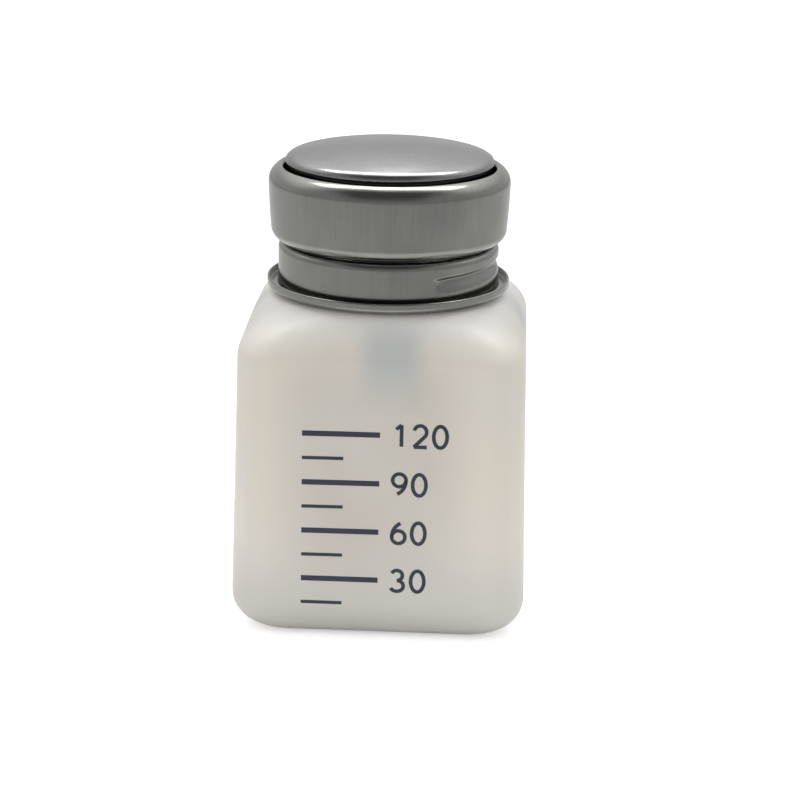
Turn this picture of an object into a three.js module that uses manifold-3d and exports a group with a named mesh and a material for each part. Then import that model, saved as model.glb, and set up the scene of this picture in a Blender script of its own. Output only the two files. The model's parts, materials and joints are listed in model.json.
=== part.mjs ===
// Press-down dispenser bottle for liquids: a square blow-moulded bottle with a screw-on pump head of drawn
// steel, whose flip lid covers a dish that is pressed down to lift the liquid.
// Millimetres, +Z up, the origin in the middle of the base, the front at -Y and the lid's hinge at +Y.
// Angles around the axis are in degrees, from the front to the right.
import * as THREE from 'three';
import { mergeVertices } from 'three/addons/utils/BufferGeometryUtils.js';
import Module from 'manifold-3d';

const wasm = await Module();
wasm.setup();

// Clearances that every piece shares
const seatGap = 0.3; // between pieces that rest on each other
const slideGap = 0.3; // around pieces that slide or turn in each other
const sink = 0.4; // how far joined solids reach into each other

// Facets
const largeSteps = 36;
const smallSteps = 16;
const ballSteps = 10;
const ballRings = 6;
const bendSteps = 2;
const cornerSteps = 5;
const sideSteps = 6;
const baseRoundSteps = 4;
const shoulderSteps = 7;

// Bottle
const bottleBaseWidth = 58;
const bottleTopWidth = 56;
const bottleWallHeight = 56.4; // up to where the shoulder starts
const bottleCornerRadius = 8;
const bottleBaseRadius = 7.8;
const bottleWall = 1.2;
const bottleFootRise = 1.5; // the middle of the base is pushed up
const bottleFootWidth = 30;
const bottleFootSlope = 3;
const shoulderHeight = 9;
const shoulderLand = 1.7; // flat ring around the neck
const shoulderInwardPower = 1.5;
const shoulderUpwardPower = 1.15;
const neckRadius = 19.7;
const neckWall = 1.6;
const neckHeight = 10.4;

// Screw thread of the bottle's neck and the bead rolled into the steel neck shell
const threadPitch = 4.233;
const threadDepth = 1.3;
const threadRootHalfHeight = 0.95;
const threadTipHalfHeight = 0.35;
const threadAboveBead = 1.3;
const threadStartDegrees = -240;
const threadEndDegrees = 170;
const threadRunOutDegrees = 20;
const beadDrop = 4.5; // from the neck's top down to the bead's middle
const beadMiddleDegrees = 90;
const beadHalfWidth = 1.3;
const beadDepth = 0.7;
const beadStartDegrees = 25;
const beadEndDegrees = 140;
const beadRunOutDegrees = 14;

// Sheet steel of the pump head
const sheet = 0.5;

// Neck shell with its drip saucer
const threadPlay = 0.5; // between the bottle's thread and the skirt
const skirtAboveBead = 0.3;
const shellBendRadius = 0.5;
const saucerWidth = 2.2;
const saucerHeight = 1.9;

// Upper cup, the wide ring above the neck shell
const cupOverhang = 3.5; // beyond the neck shell's riser
const cupTaper = 0.5;
const cupBottomRadius = 2.5;
const cupShoulderRadius = 3.4;
const cupShoulderDegrees = 84;
const cupMouthBend = 0.5;
const cupMouthLip = 1.4;
const cupCollarHeight = 1.6;

// Gaskets and fasteners at the deck
const gasketThickness = 0.8;
const gasketWidth = 2;
const deckSealThickness = 0.6;
const deckSealWidth = 4.2;
const clampWasherThickness = 0.5;
const clampWasherWidth = 3.4;
const clampNutThickness = 2.4;
const clampNutWall = 2.2;

// Valve balls
const inletBallRadius = 1.6;
const outletBallRadius = 1.2;
const ballPlay = 0.3; // around a ball in its chamber
const ballGap = 0.2; // between a ball and its seat

// Pump housing
const bossWall = 1.7;
const bossHeight = 12;
const flangeWidth = 3.5; // beyond the boss
const flangeThickness = 1;
const guideBoreDepth = 7;
const guideSeatWidth = 0.5;
const barrelWall = 1;
const barrelLength = 22; // from the boss down to the cone
const ballChamberHeight = 3.6;
const ballLipWidth = 0.6; // the ball is snapped in past this lip
const ballLipHeight = 0.5;
const valveSeatWidth = 0.9;
const valvePassage = 1;
const housingConeHeight = 3.4;
const tubeSocketWall = 1.15;
const tubeSocketDepth = 4.4;

// Dip tube
const dipTubeRadius = 2.05;
const dipTubeWall = 0.7;
const dipTubeFloorGap = 1.2;

// Stem, piston and their seals
const stroke = 5;
const stemTipWall = 0.5; // around the outlet ball's chamber
const stemBore = 0.8;
const stemValveDepth = 3.4;
const ringSection = 0.6; // radius of the O-ring's section
const pistonHeight = 5;
const pistonSocketDepth = 2.5;
const pistonLip = 0.35;
const pistonSkirtDepth = 1.1;
const pistonSkirtSlope = 0.15;

// Return spring
const springWireRadius = 0.35;
const springCurls = 10;
const springStepsPerCurl = 8;
const springSides = 5;

// Press dish with its brass nozzle and nut
const dishPlay = 0.5; // around the dish in the cup's mouth
const dishRimDrop = 0.84; // rim below the cup's top
const dishDepth = 2.4;
const dishRimBend = 0.5;
const dishRimDegrees = 120;
const dishSkirt = 4.2;
const dishFlatWidth = 1.4; // around the nozzle
const dishCurvePoints = 4;
const nozzleSleeveWall = 1.1;
const nozzleFlangeWidth = 1.6;
const nozzleFlangeThickness = 1;
const nozzleEdgeBevel = 0.4;
const nozzleHoleRadius = 0.7;
const nozzleCeiling = 0.7;
const dishNutThickness = 1.8;
const dishNutWall = 1.8;

// Lid
const lidLap = 0.53; // beyond the cup's mouth
const lidRimHeight = 0.9;
const lidRimWidth = 0.6;
const lidDome = 3;
const lidDomePower = 2.2;
const lidSheet = 0.6;
const lidCurvePoints = 7;
const linerRadius = 12;
const linerThickness = 0.8;
const linerPostRadius = 2.6;

// Hinge at the back
const hingeDrop = 2.24; // pin axis below the cup's top
const knuckleSetback = 0.4; // behind the bracket's inner face
const knuckleWall = 0.6;
const pinRadius = 0.7;
const pinHeadWidth = 0.65;
const pinHeadLength = 0.5;
const hingeWidth = 13.6;
const lidKnuckleWidth = 5.8;
const bracketSheet = 0.8;
const bracketMargin = 0.5; // beyond the outer knuckles
const bracketArcSteps = 8;
const tongueSheet = 0.7;
const tongueInset = 0.5;

// Radii that follow from the sizes above, from the neck out and from the stem out
const degree = Math.PI / 180;
const neckBore = neckRadius - neckWall;
const threadRadius = neckRadius + threadDepth;
const shellRadius = threadRadius + threadPlay + sheet;
const riserRadius = neckRadius + slideGap + sheet;
const shellShoulderRadius = shellRadius - riserRadius;
const saucerRadius = shellRadius + saucerWidth;
const cupRadius = riserRadius + cupOverhang;
const cupShoulderEnd = cupRadius - cupShoulderRadius
  + (cupShoulderRadius - sheet / 2) * Math.cos(cupShoulderDegrees * degree);
const cupMouthRadius = cupShoulderEnd - cupMouthBend - sheet / 2;
const dishRadius = cupMouthRadius - dishPlay;
const lidRadius = cupMouthRadius + lidLap;
const stemValveBore = outletBallRadius + ballPlay;
const stemRadius = stemValveBore + stemTipWall;
const ringRadius = stemRadius + slideGap + ringSection;
const guideBore = ringRadius + ringSection + slideGap;
const bossRadius = guideBore + bossWall;
const deckHoleRadius = bossRadius + slideGap;
const barrelBore = guideBore - guideSeatWidth;
const barrelRadius = barrelBore + barrelWall;
const pistonRadius = barrelBore - slideGap;
const springMeanRadius = pistonRadius - pistonLip - slideGap - springWireRadius;
const ballChamberRadius = inletBallRadius + ballPlay;
const valveSeatRadius = ballChamberRadius - valveSeatWidth;
const tubeSocketBore = dipTubeRadius + slideGap;
const nozzleSleeveRadius = stemRadius + slideGap + nozzleSleeveWall;
const nozzleFlangeRadius = nozzleSleeveRadius + nozzleFlangeWidth;
const dishFlatRadius = nozzleFlangeRadius + dishFlatWidth;
const knuckleBore = pinRadius + slideGap;
const knuckleRadius = knuckleBore + knuckleWall;
const hingeY = cupRadius + seatGap + knuckleSetback + knuckleRadius;

// Heights that follow, from the bottle up to the lid
const bottleFloor = bottleFootRise + bottleWall;
const shoulderTop = bottleWallHeight + shoulderHeight;
const neckTop = shoulderTop + neckHeight;
const beadMiddle = neckTop - beadDrop;
const shellBottom = shoulderTop + seatGap;
const shellShoulderStart = beadHeight(beadEndDegrees) + beadHalfWidth + skirtAboveBead;
const gasketBottom = neckTop + seatGap;
const deckUnderside = gasketBottom + gasketThickness + seatGap;
const deckTop = deckUnderside + sheet;
const flangeBottom = deckTop + seatGap;
const flangeTop = flangeBottom + flangeThickness;
const dishNutBottom = flangeTop + seatGap + stroke;
const dishSheetBottom = dishNutBottom + dishNutThickness + seatGap;
const dishSheetTop = dishSheetBottom + sheet;
const nozzleFlangeBottom = dishSheetTop + seatGap;
const nozzleTop = nozzleFlangeBottom + nozzleFlangeThickness;
const dishRimTop = dishSheetTop + dishDepth;
const cupTop = dishRimTop + dishRimDrop;
const cupBottom = shellShoulderStart + shellShoulderRadius + seatGap;
const cupShoulderStart = cupTop - cupShoulderRadius * Math.sin(cupShoulderDegrees * degree);
const lidRimBottom = cupTop + seatGap;
const lidRimTop = lidRimBottom + lidRimHeight;
const hingeZ = cupTop - hingeDrop;

// Heights that follow, from the deck down to the dip tube
const sealTop = deckUnderside - seatGap;
const washerTop = sealTop - deckSealThickness - seatGap;
const clampNutTop = washerTop - clampWasherThickness - seatGap;
const bossBottom = flangeTop - bossHeight;
const barrelBottom = bossBottom - barrelLength;
const chamberTop = barrelBottom - ballLipHeight;
const chamberBottom = barrelBottom - ballChamberHeight;
const passageTop = chamberBottom - valveSeatWidth;
const socketTop = passageTop - valvePassage;
const housingBottom = socketTop - tubeSocketDepth;
const guideSeat = flangeTop - guideBoreDepth;
const guideBottom = guideSeat + 2 * (ringSection + seatGap);
const pistonTop = guideSeat - seatGap;
const pistonBottom = pistonTop - pistonHeight;
const stemBottom = pistonTop - pistonSocketDepth + seatGap;
const stemTop = nozzleTop - nozzleCeiling - seatGap;
const outletSeat = stemTop - stemValveDepth;
const springBottom = barrelBottom + seatGap;
const springTop = pistonBottom + pistonSkirtDepth - seatGap;

// Materials
const materials = {
  milkyPlastic: { color: 0xe6e3da, roughness: 0.45, metalness: 0, transparent: true, opacity: 0.85 },
  steel: { color: 0x9d9c98, roughness: 0.32, metalness: 1 },
  brass: { color: 0xc9a45a, roughness: 0.3, metalness: 1 },
  whitePlastic: { color: 0xf1f1ee, roughness: 0.5, metalness: 0 },
  paleRubber: { color: 0xdadad4, roughness: 0.8, metalness: 0 },
  darkRubber: { color: 0x1d1d1f, roughness: 0.75, metalness: 0 },
};

const dispenser = new THREE.Group();

function addPiece(name, geometry, material) {
  const mesh = new THREE.Mesh(geometry, new THREE.MeshStandardMaterial(materials[material]));
  mesh.name = name;
  dispenser.add(mesh);
  return mesh;
}

// Gives a geometry shared vertices and faces that point out of the solid
function closed(geometry) {
  geometry.deleteAttribute('normal');
  geometry.deleteAttribute('uv');
  const merged = mergeVertices(geometry);
  const at = merged.attributes.position;
  const index = merged.index.array;
  const corner = (i) => new THREE.Vector3().fromBufferAttribute(at, index[i]);
  const kept = [];
  let volume = 0;
  for (let i = 0; i < index.length; i += 3) {
    const sides = new Set([index[i], index[i + 1], index[i + 2]]);
    if (sides.size < 3) continue;
    kept.push(index[i], index[i + 1], index[i + 2]);
    volume += corner(i).dot(corner(i + 1).cross(corner(i + 2)));
  }
  merged.setIndex(volume > 0 ? kept : kept.reverse());
  merged.computeVertexNormals();
  return merged;
}

function toSolid(geometry) {
  const shape = closed(geometry);
  const vertProperties = new Float32Array(shape.attributes.position.array);
  const triVerts = new Uint32Array(shape.index.array);
  return new wasm.Manifold(new wasm.Mesh({ numProp: 3, vertProperties, triVerts }));
}

function fromSolid(solid) {
  const mesh = solid.getMesh();
  const geometry = new THREE.BufferGeometry();
  geometry.setAttribute('position', new THREE.BufferAttribute(mesh.vertProperties, 3));
  geometry.setIndex(new THREE.BufferAttribute(mesh.triVerts, 1));
  geometry.computeVertexNormals();
  return geometry;
}

function join(...geometries) {
  return fromSolid(geometries.map(toSolid).reduce((whole, piece) => whole.add(piece)));
}

const point = (r, z) => new THREE.Vector2(r, z);
const upward = new THREE.Vector3(0, 0, 1);

// Turns a profile of radius and height about Z; it starts and ends on the axis or closes on itself
function turned(profile, steps, loop = true) {
  const points = loop ? [...profile, profile[0]] : profile;
  const geometry = new THREE.LatheGeometry(points, steps);
  geometry.rotateX(Math.PI / 2);
  return closed(geometry);
}

// A plain tube or washer
function tube(inner, outer, bottom, top, steps = smallSteps) {
  return turned([point(inner, bottom), point(outer, bottom), point(outer, top), point(inner, top)], steps);
}

function arc(centre, radius, fromDegrees, toDegrees, steps) {
  return Array.from({ length: steps + 1 }, (_, i) => {
    const angle = (fromDegrees + (toDegrees - fromDegrees) * i / steps) * degree;
    return point(centre.x + radius * Math.cos(angle), centre.y + radius * Math.sin(angle));
  });
}

// The closed outline of a bent sheet: its middle line moved half a thickness to both sides
function sheetLoop(line, thickness) {
  const normals = line.map((_, i) => {
    const before = line[Math.max(i - 1, 0)];
    const after = line[Math.min(i + 1, line.length - 1)];
    const into = line[i].clone().sub(before).normalize();
    const out = after.clone().sub(line[i]).normalize();
    const along = into.clone().add(out).normalize();
    const miter = Math.max(along.dot(i > 0 ? into : out), Math.SQRT1_2);
    return point(-along.y, along.x).multiplyScalar(thickness / 2 / miter);
  });
  const left = line.map((p, i) => p.clone().add(normals[i]));
  const right = line.map((p, i) => p.clone().sub(normals[i]));
  return [...left, ...right.reverse()];
}

// Carries a loop of radius and height once around Z; the loop may change with the angle, and the angle
// runs from the front (-Y) to the right (+X)
function revolved(loopAt, steps) {
  const positions = [];
  const indices = [];
  let count = 0;
  for (let k = 0; k < steps; k++) {
    const turn = 2 * Math.PI * k / steps;
    const loop = loopAt(turn / degree);
    count = loop.length;
    for (const p of loop) positions.push(p.x * Math.sin(turn), -p.x * Math.cos(turn), p.y);
    for (let i = 0; i < count; i++) {
      const next = (i + 1) % count;
      const here = k * count;
      const beside = ((k + 1) % steps) * count;
      indices.push(here + i, beside + i, beside + next, here + i, beside + next, here + next);
    }
  }
  const geometry = new THREE.BufferGeometry();
  geometry.setAttribute('position', new THREE.Float32BufferAttribute(positions, 3));
  geometry.setIndex(indices);
  return closed(geometry);
}

// Joins rings of equally many points to one skin, and closes its first and last ring with flat caps
function stacked(rings) {
  const count = rings[0].length;
  const positions = rings.flat().flatMap((p) => [p.x, p.y, p.z]);
  const indices = [];
  for (let k = 0; k + 1 < rings.length; k++) {
    for (let i = 0; i < count; i++) {
      const next = (i + 1) % count;
      const [here, above] = [k * count, (k + 1) * count];
      indices.push(here + i, here + next, above + next, here + i, above + next, above + i);
    }
  }
  for (const [ring, first] of [[rings[0], 0], [rings.at(-1), (rings.length - 1) * count]]) {
    const centre = positions.length / 3;
    const middle = ring.reduce((sum, p) => sum.add(p), new THREE.Vector3()).divideScalar(count);
    positions.push(middle.x, middle.y, middle.z);
    for (let i = 0; i < count; i++) {
      const next = (i + 1) % count;
      indices.push(centre, first + (first ? i : next), first + (first ? next : i));
    }
  }
  const geometry = new THREE.BufferGeometry();
  geometry.setAttribute('position', new THREE.Float32BufferAttribute(positions, 3));
  geometry.setIndex(indices);
  return closed(geometry);
}

// One level of the bottle: a square with round corners
function squareRing(halfWidth, cornerRadius, z) {
  const flat = halfWidth - cornerRadius;
  const ring = [];
  for (let quarter = 0; quarter < 4; quarter++) {
    const spin = quarter * Math.PI / 2;
    const add = (x, y) => ring.push(new THREE.Vector3(x, y, z).applyAxisAngle(upward, spin));
    for (let i = 0; i < sideSteps; i++) add(halfWidth, flat * (2 * i / sideSteps - 1));
    for (let i = 0; i < cornerSteps; i++) {
      const angle = Math.PI / 2 * i / cornerSteps;
      add(flat + cornerRadius * Math.cos(angle), flat + cornerRadius * Math.sin(angle));
    }
  }
  return ring;
}

// A level between the bottle's square and a circle of the given radius, drawn in along the same directions
function drawnIn(square, radius, share, z) {
  return square.map((p) => {
    const reach = Math.hypot(p.x, p.y);
    const scale = (radius + (reach - radius) * share) / reach;
    return new THREE.Vector3(p.x * scale, p.y * scale, z);
  });
}

// The bottle's levels from the top of its straight walls in to the neck; inset is how far the skin lies
// inside the outer one
function shoulderRings(inset, landRadius, topZ) {
  const square = squareRing(bottleTopWidth / 2 - inset, bottleCornerRadius - inset, bottleWallHeight);
  return Array.from({ length: shoulderSteps + 1 }, (_, i) => {
    const angle = Math.PI / 2 * i / shoulderSteps;
    const share = i < shoulderSteps ? Math.cos(angle) ** shoulderInwardPower : 0;
    const rise = (topZ - bottleWallHeight) * Math.sin(angle) ** shoulderUpwardPower;
    return drawnIn(square, landRadius, share, bottleWallHeight + rise);
  });
}

// The bottle's levels around the edge of its base, up to its straight walls
function baseRings(inset, floorZ, roundRadius) {
  const half = bottleBaseWidth / 2 - inset;
  const corner = bottleCornerRadius - inset;
  return Array.from({ length: baseRoundSteps + 1 }, (_, i) => {
    const angle = Math.PI / 2 * i / baseRoundSteps;
    const inward = roundRadius * (1 - Math.sin(angle));
    const z = floorZ + roundRadius * (1 - Math.cos(angle));
    return squareRing(half - inward, corner * (1 - inward / half), z);
  });
}

function circleLike(square, radius, z) {
  return drawnIn(square, radius, 0, z);
}

// The screw thread: a trapezoid carried up the neck, its ends sinking into the wall
function threadRib() {
  const steps = Math.round((threadEndDegrees - threadStartDegrees) * largeSteps / 360);
  const rings = [];
  for (let i = 0; i <= steps; i++) {
    const degrees = threadStartDegrees + (threadEndDegrees - threadStartDegrees) * i / steps;
    const z = beadHeight(degrees) + threadAboveBead;
    const fromEnd = Math.min(degrees - threadStartDegrees, threadEndDegrees - degrees);
    const grown = Math.min(fromEnd / threadRunOutDegrees, 1);
    const root = neckRadius - sink;
    const tip = root + sink / 2 + (threadRadius - root - sink / 2) * grown;
    const turn = degrees * degree;
    rings.push([[root, -threadRootHalfHeight], [tip, -threadTipHalfHeight], [tip, threadTipHalfHeight],
      [root, threadRootHalfHeight]].map(([r, up]) =>
      new THREE.Vector3(r * Math.sin(turn), -r * Math.cos(turn), z + up)));
  }
  return stacked(rings);
}

function beadHeight(degrees) {
  return beadMiddle + threadPitch * (degrees - beadMiddleDegrees) / 360;
}

function bottle() {
  const foot = squareRing(bottleFootWidth / 2, bottleCornerRadius * bottleFootWidth / bottleBaseWidth, 0);
  const footTop = foot.map((p) => {
    const scale = 1 - bottleFootSlope / (bottleFootWidth / 2);
    return new THREE.Vector3(p.x * scale, p.y * scale, bottleFootRise);
  });
  const outer = [footTop, foot, ...baseRings(0, 0, bottleBaseRadius),
    ...shoulderRings(0, neckRadius + shoulderLand, shoulderTop)];
  const directions = outer.at(-1);
  const inner = [...baseRings(bottleWall, bottleFloor, bottleBaseRadius - bottleWall),
    ...shoulderRings(bottleWall, neckBore, shoulderTop - bottleWall)];
  return join(stacked([
    ...outer,
    circleLike(directions, neckRadius, shoulderTop),
    circleLike(directions, neckRadius, neckTop),
    circleLike(directions, neckBore, neckTop),
    ...inner.reverse(),
  ]), threadRib());
}

// Neck shell: drip saucer, skirt with the rolled thread bead, shoulder, riser and deck, all one drawn sheet
function neckShell() {
  const half = sheet / 2;
  const floor = shellBottom + half;
  const skirt = shellRadius - half;
  const rim = saucerRadius - half;
  const shares = [-1, -0.5, 0, 0.5, 1];
  const saucerLine = [
    point(rim, shellBottom + saucerHeight),
    ...arc(point(rim - shellBendRadius, floor + shellBendRadius), shellBendRadius, 0, -90, bendSteps),
    ...arc(point(skirt + shellBendRadius, floor + shellBendRadius), shellBendRadius, 270, 180, bendSteps),
  ];
  const topLine = [
    ...arc(point(riserRadius, shellShoulderStart), shellShoulderRadius - half, 0, 90, bendSteps),
    point(riserRadius - half, cupBottom - seatGap + half),
    point(riserRadius - half, deckUnderside + half),
    point(deckHoleRadius, deckUnderside + half),
  ];
  return revolved((degrees) => {
    // past the bead's end its height comes back to its start, where the skirt is plain
    const wrapped = degrees < beadStartDegrees ? degrees + 360 : degrees;
    const back = Math.max(wrapped - beadEndDegrees, 0) / (360 + beadStartDegrees - beadEndDegrees);
    const middle = beadHeight(Math.min(wrapped, beadEndDegrees))
      + (beadHeight(beadStartDegrees) - beadHeight(beadEndDegrees)) * back;
    const fromEnd = Math.min(wrapped - beadStartDegrees, beadEndDegrees - wrapped);
    const depth = beadDepth * THREE.MathUtils.smoothstep(fromEnd, 0, beadRunOutDegrees);
    const skirtLine = shares.map((share) => point(skirt, middle + beadHalfWidth * share));
    const line = [...saucerLine, ...skirtLine, ...topLine];
    return sheetLoop(line, sheet).map((p, i) => {
      const place = i < line.length ? i : 2 * line.length - 1 - i;
      const share = shares[place - saucerLine.length];
      if (share === undefined) return p;
      return point(p.x - depth * Math.cos(Math.PI / 2 * share) ** 2, p.y);
    });
  }, largeSteps);
}

// Upper cup: collar around the shell's riser, round bottom, tapered wall, round shoulder, turned-in mouth
function upperCup() {
  const half = sheet / 2;
  const collar = riserRadius + slideGap + half;
  const wallFoot = cupRadius - cupTaper;
  const bottomCentre = point(wallFoot - cupBottomRadius, cupBottom + cupBottomRadius);
  const shoulderCentre = point(cupRadius - cupShoulderRadius, cupShoulderStart);
  const bottom = cupBottomRadius - half;
  const startDegrees = -Math.acos((collar - bottomCentre.x) / bottom) / degree;
  const mouthCentre = point(cupShoulderEnd, cupTop - half - cupMouthBend);
  const line = [
    point(collar, cupBottom + sheet + cupCollarHeight),
    ...arc(bottomCentre, bottom, startDegrees, 0, 2 * bendSteps),
    ...arc(shoulderCentre, cupShoulderRadius - half, 0, cupShoulderDegrees, 3 * bendSteps).slice(0, -1),
    ...arc(mouthCentre, cupMouthBend, 90, 180, bendSteps),
    point(mouthCentre.x - cupMouthBend, mouthCentre.y - cupMouthLip),
  ];
  return turned(sheetLoop(line, sheet), largeSteps);
}

function hexNut(bore, wall, bottom, thickness) {
  const across = 2 * (bore + wall) / Math.sqrt(3);
  const outline = new THREE.Shape(Array.from({ length: 6 }, (_, i) =>
    point(across * Math.cos(i * Math.PI / 3), across * Math.sin(i * Math.PI / 3))));
  outline.holes.push(new THREE.Path().absarc(0, 0, bore, 0, 2 * Math.PI));
  const geometry = new THREE.ExtrudeGeometry(outline,
    { depth: thickness, bevelEnabled: false, curveSegments: smallSteps });
  geometry.translate(0, 0, bottom);
  return closed(geometry);
}

// Pump housing: flange on the deck, threaded boss through it, barrel, valve chamber and tube socket
function pumpHousing() {
  return turned([
    point(bossRadius + flangeWidth, flangeBottom),
    point(bossRadius + flangeWidth, flangeTop),
    point(guideBore, flangeTop),
    point(guideBore, guideSeat),
    point(barrelBore, guideSeat),
    point(barrelBore, barrelBottom),
    point(ballChamberRadius - ballLipWidth, barrelBottom),
    point(ballChamberRadius - ballLipWidth, chamberTop),
    point(ballChamberRadius, chamberTop),
    point(ballChamberRadius, chamberBottom),
    point(valveSeatRadius, passageTop),
    point(valveSeatRadius, socketTop),
    point(tubeSocketBore, socketTop),
    point(tubeSocketBore, housingBottom),
    point(tubeSocketBore + tubeSocketWall, housingBottom),
    point(tubeSocketBore + tubeSocketWall, barrelBottom - housingConeHeight),
    point(barrelRadius, barrelBottom),
    point(barrelRadius, bossBottom),
    point(bossRadius, bossBottom),
    point(bossRadius, flangeBottom),
  ], smallSteps);
}

function pistonStem() {
  return turned([
    point(stemBore, stemBottom),
    point(stemRadius, stemBottom),
    point(stemRadius, stemTop),
    point(stemValveBore, stemTop),
    point(stemValveBore, outletSeat),
    point(stemBore, outletSeat),
  ], smallSteps);
}

// Piston: a soft cup on the stem's foot, with a lip below that wipes the barrel
function pistonSeal() {
  const socket = stemRadius + slideGap;
  const socketFloor = pistonTop - pistonSocketDepth;
  const skirtTop = pistonBottom + pistonSkirtDepth;
  const skirtInner = pistonRadius - pistonLip;
  return turned([
    point(stemBore, skirtTop),
    point(skirtInner - pistonSkirtSlope, skirtTop),
    point(skirtInner, pistonBottom),
    point(pistonRadius, pistonBottom),
    point(pistonRadius, pistonTop),
    point(socket, pistonTop),
    point(socket, socketFloor),
    point(stemBore, socketFloor),
  ], smallSteps);
}

function ball(radius, z) {
  const geometry = new THREE.SphereGeometry(radius, ballSteps, ballRings);
  geometry.translate(0, 0, z);
  return closed(geometry);
}

// Height of a ball's middle above the round edge that it seats on
function ballRise(radius, edgeRadius) {
  return Math.sqrt((radius + ballGap) ** 2 - edgeRadius ** 2);
}

// Return spring: one unbroken tube along a helix, with its ends closed
function returnSpring() {
  const steps = springCurls * springStepsPerCurl;
  const low = springBottom + springWireRadius;
  const rise = springTop - springWireRadius - low;
  const centreline = Array.from({ length: steps + 1 }, (_, i) => {
    const turn = 2 * Math.PI * i / springStepsPerCurl;
    return new THREE.Vector3(springMeanRadius * Math.cos(turn), springMeanRadius * Math.sin(turn),
      low + rise * i / steps);
  });
  const rings = centreline.map((middle, i) => {
    const outward = new THREE.Vector3(middle.x, middle.y, 0).normalize();
    const before = centreline[Math.max(i - 1, 0)];
    const after = centreline[Math.min(i + 1, steps)];
    const along = after.clone().sub(before).normalize();
    const across = along.clone().cross(outward).normalize();
    return Array.from({ length: springSides }, (_, side) => {
      const angle = 2 * Math.PI * side / springSides;
      return middle.clone()
        .addScaledVector(outward, springWireRadius * Math.cos(angle))
        .addScaledVector(across, springWireRadius * Math.sin(angle));
    });
  });
  let least = Infinity;
  for (let i = 0; i <= steps; i++) {
    for (let j = i + springStepsPerCurl / 2; j <= steps; j++) {
      least = Math.min(least, centreline[i].distanceTo(centreline[j]) - 2 * springWireRadius);
    }
  }
  console.log(`return spring: least gap to itself ${least.toFixed(2)} mm`);
  return stacked(rings);
}

// Press dish: flat middle, shallow bowl, rolled rim and a skirt that runs in the cup's mouth
function pressDish() {
  const half = sheet / 2;
  const middle = dishSheetBottom + half;
  const skirt = dishRadius - half;
  const rimCentre = point(skirt - dishRimBend, dishRimTop - half - dishRimBend);
  const rim = arc(rimCentre, dishRimBend, dishRimDegrees, 0, bendSteps);
  const bowl = Array.from({ length: dishCurvePoints }, (_, i) => {
    const share = i / dishCurvePoints;
    return point(dishFlatRadius + (rim[0].x - dishFlatRadius) * share,
      middle + (rim[0].y - middle) * share ** 2);
  });
  const line = [
    point(nozzleSleeveRadius + slideGap, middle),
    ...bowl,
    ...rim,
    point(skirt, dishRimTop - dishSkirt),
  ];
  return turned(sheetLoop(line, sheet), largeSteps);
}

// Nozzle: a brass cap over the stem's end with the outlet in its middle
function dishNozzle() {
  const bore = stemRadius + slideGap;
  return turned([
    point(bore, dishNutBottom),
    point(nozzleSleeveRadius, dishNutBottom),
    point(nozzleSleeveRadius, nozzleFlangeBottom),
    point(nozzleFlangeRadius, nozzleFlangeBottom),
    point(nozzleFlangeRadius, nozzleTop - nozzleEdgeBevel),
    point(nozzleFlangeRadius - nozzleEdgeBevel, nozzleTop),
    point(nozzleHoleRadius, nozzleTop),
    point(nozzleHoleRadius, nozzleTop - nozzleCeiling),
    point(bore, nozzleTop - nozzleCeiling),
  ], smallSteps);
}

// Height of the lid's top surface at a radius
function lidHeight(radius) {
  return lidRimTop + lidDome * (1 - (radius / lidRadius) ** lidDomePower);
}

// An outline in Y and Z carried along X
function extrudedAcross(outline, fromX, toX) {
  const geometry = new THREE.ExtrudeGeometry(outline,
    { depth: toX - fromX, bevelEnabled: false, curveSegments: smallSteps / 2 });
  // the outline's own x and y become Y and Z
  geometry.rotateX(Math.PI / 2);
  geometry.rotateZ(Math.PI / 2);
  geometry.translate(fromX, 0, 0);
  return closed(geometry);
}

function knuckle(fromX, toX) {
  const ring = new THREE.Shape().absarc(hingeY, hingeZ, knuckleRadius, 0, 2 * Math.PI);
  ring.holes.push(new THREE.Path().absarc(hingeY, hingeZ, knuckleBore, 0, 2 * Math.PI));
  return extrudedAcross(ring, fromX, toX);
}

// Lid: a domed sheet with a turned-down rim, and a tongue at the back that rolls into the middle knuckle
function lid() {
  const radii = Array.from({ length: lidCurvePoints }, (_, i) => (lidRadius - lidRimWidth) * Math.sin(
    Math.PI / 2 * i / (lidCurvePoints - 1)));
  const rimRound = lidRimWidth / 2;
  const dome = turned([
    ...radii.map((r) => point(r, lidHeight(r))),
    ...arc(point(lidRadius - rimRound, lidRimTop - rimRound), rimRound, 90, 0, bendSteps),
    ...arc(point(lidRadius - rimRound, lidRimBottom + rimRound), rimRound, 0, -90, bendSteps),
    point(lidRadius - lidRimWidth, lidRimBottom),
    ...radii.toReversed().map((r) => point(r, lidHeight(r) - lidSheet)),
  ], largeSteps, false);
  const front = lidRadius - tongueInset;
  const tongueTop = hingeZ + knuckleRadius;
  const tongue = extrudedAcross(new THREE.Shape([
    point(front, lidRimTop - tongueSheet),
    point(front, lidRimTop - rimRound / 2),
    point(hingeY, tongueTop),
    point(hingeY, tongueTop - (knuckleRadius - knuckleBore)),
  ]), -lidKnuckleWidth / 2, lidKnuckleWidth / 2);
  return join(dome, tongue, knuckle(-lidKnuckleWidth / 2, lidKnuckleWidth / 2));
}

// Liner: a soft disc snapped under the lid, with a post that closes the nozzle
function lidLiner() {
  const top = lidHeight(linerRadius) - lidSheet - seatGap;
  return turned([
    point(0, nozzleTop + seatGap),
    point(linerPostRadius, nozzleTop + seatGap),
    point(linerPostRadius, top - linerThickness),
    point(linerRadius, top - linerThickness),
    point(linerRadius, top),
    point(0, top),
  ], smallSteps, false);
}

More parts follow.
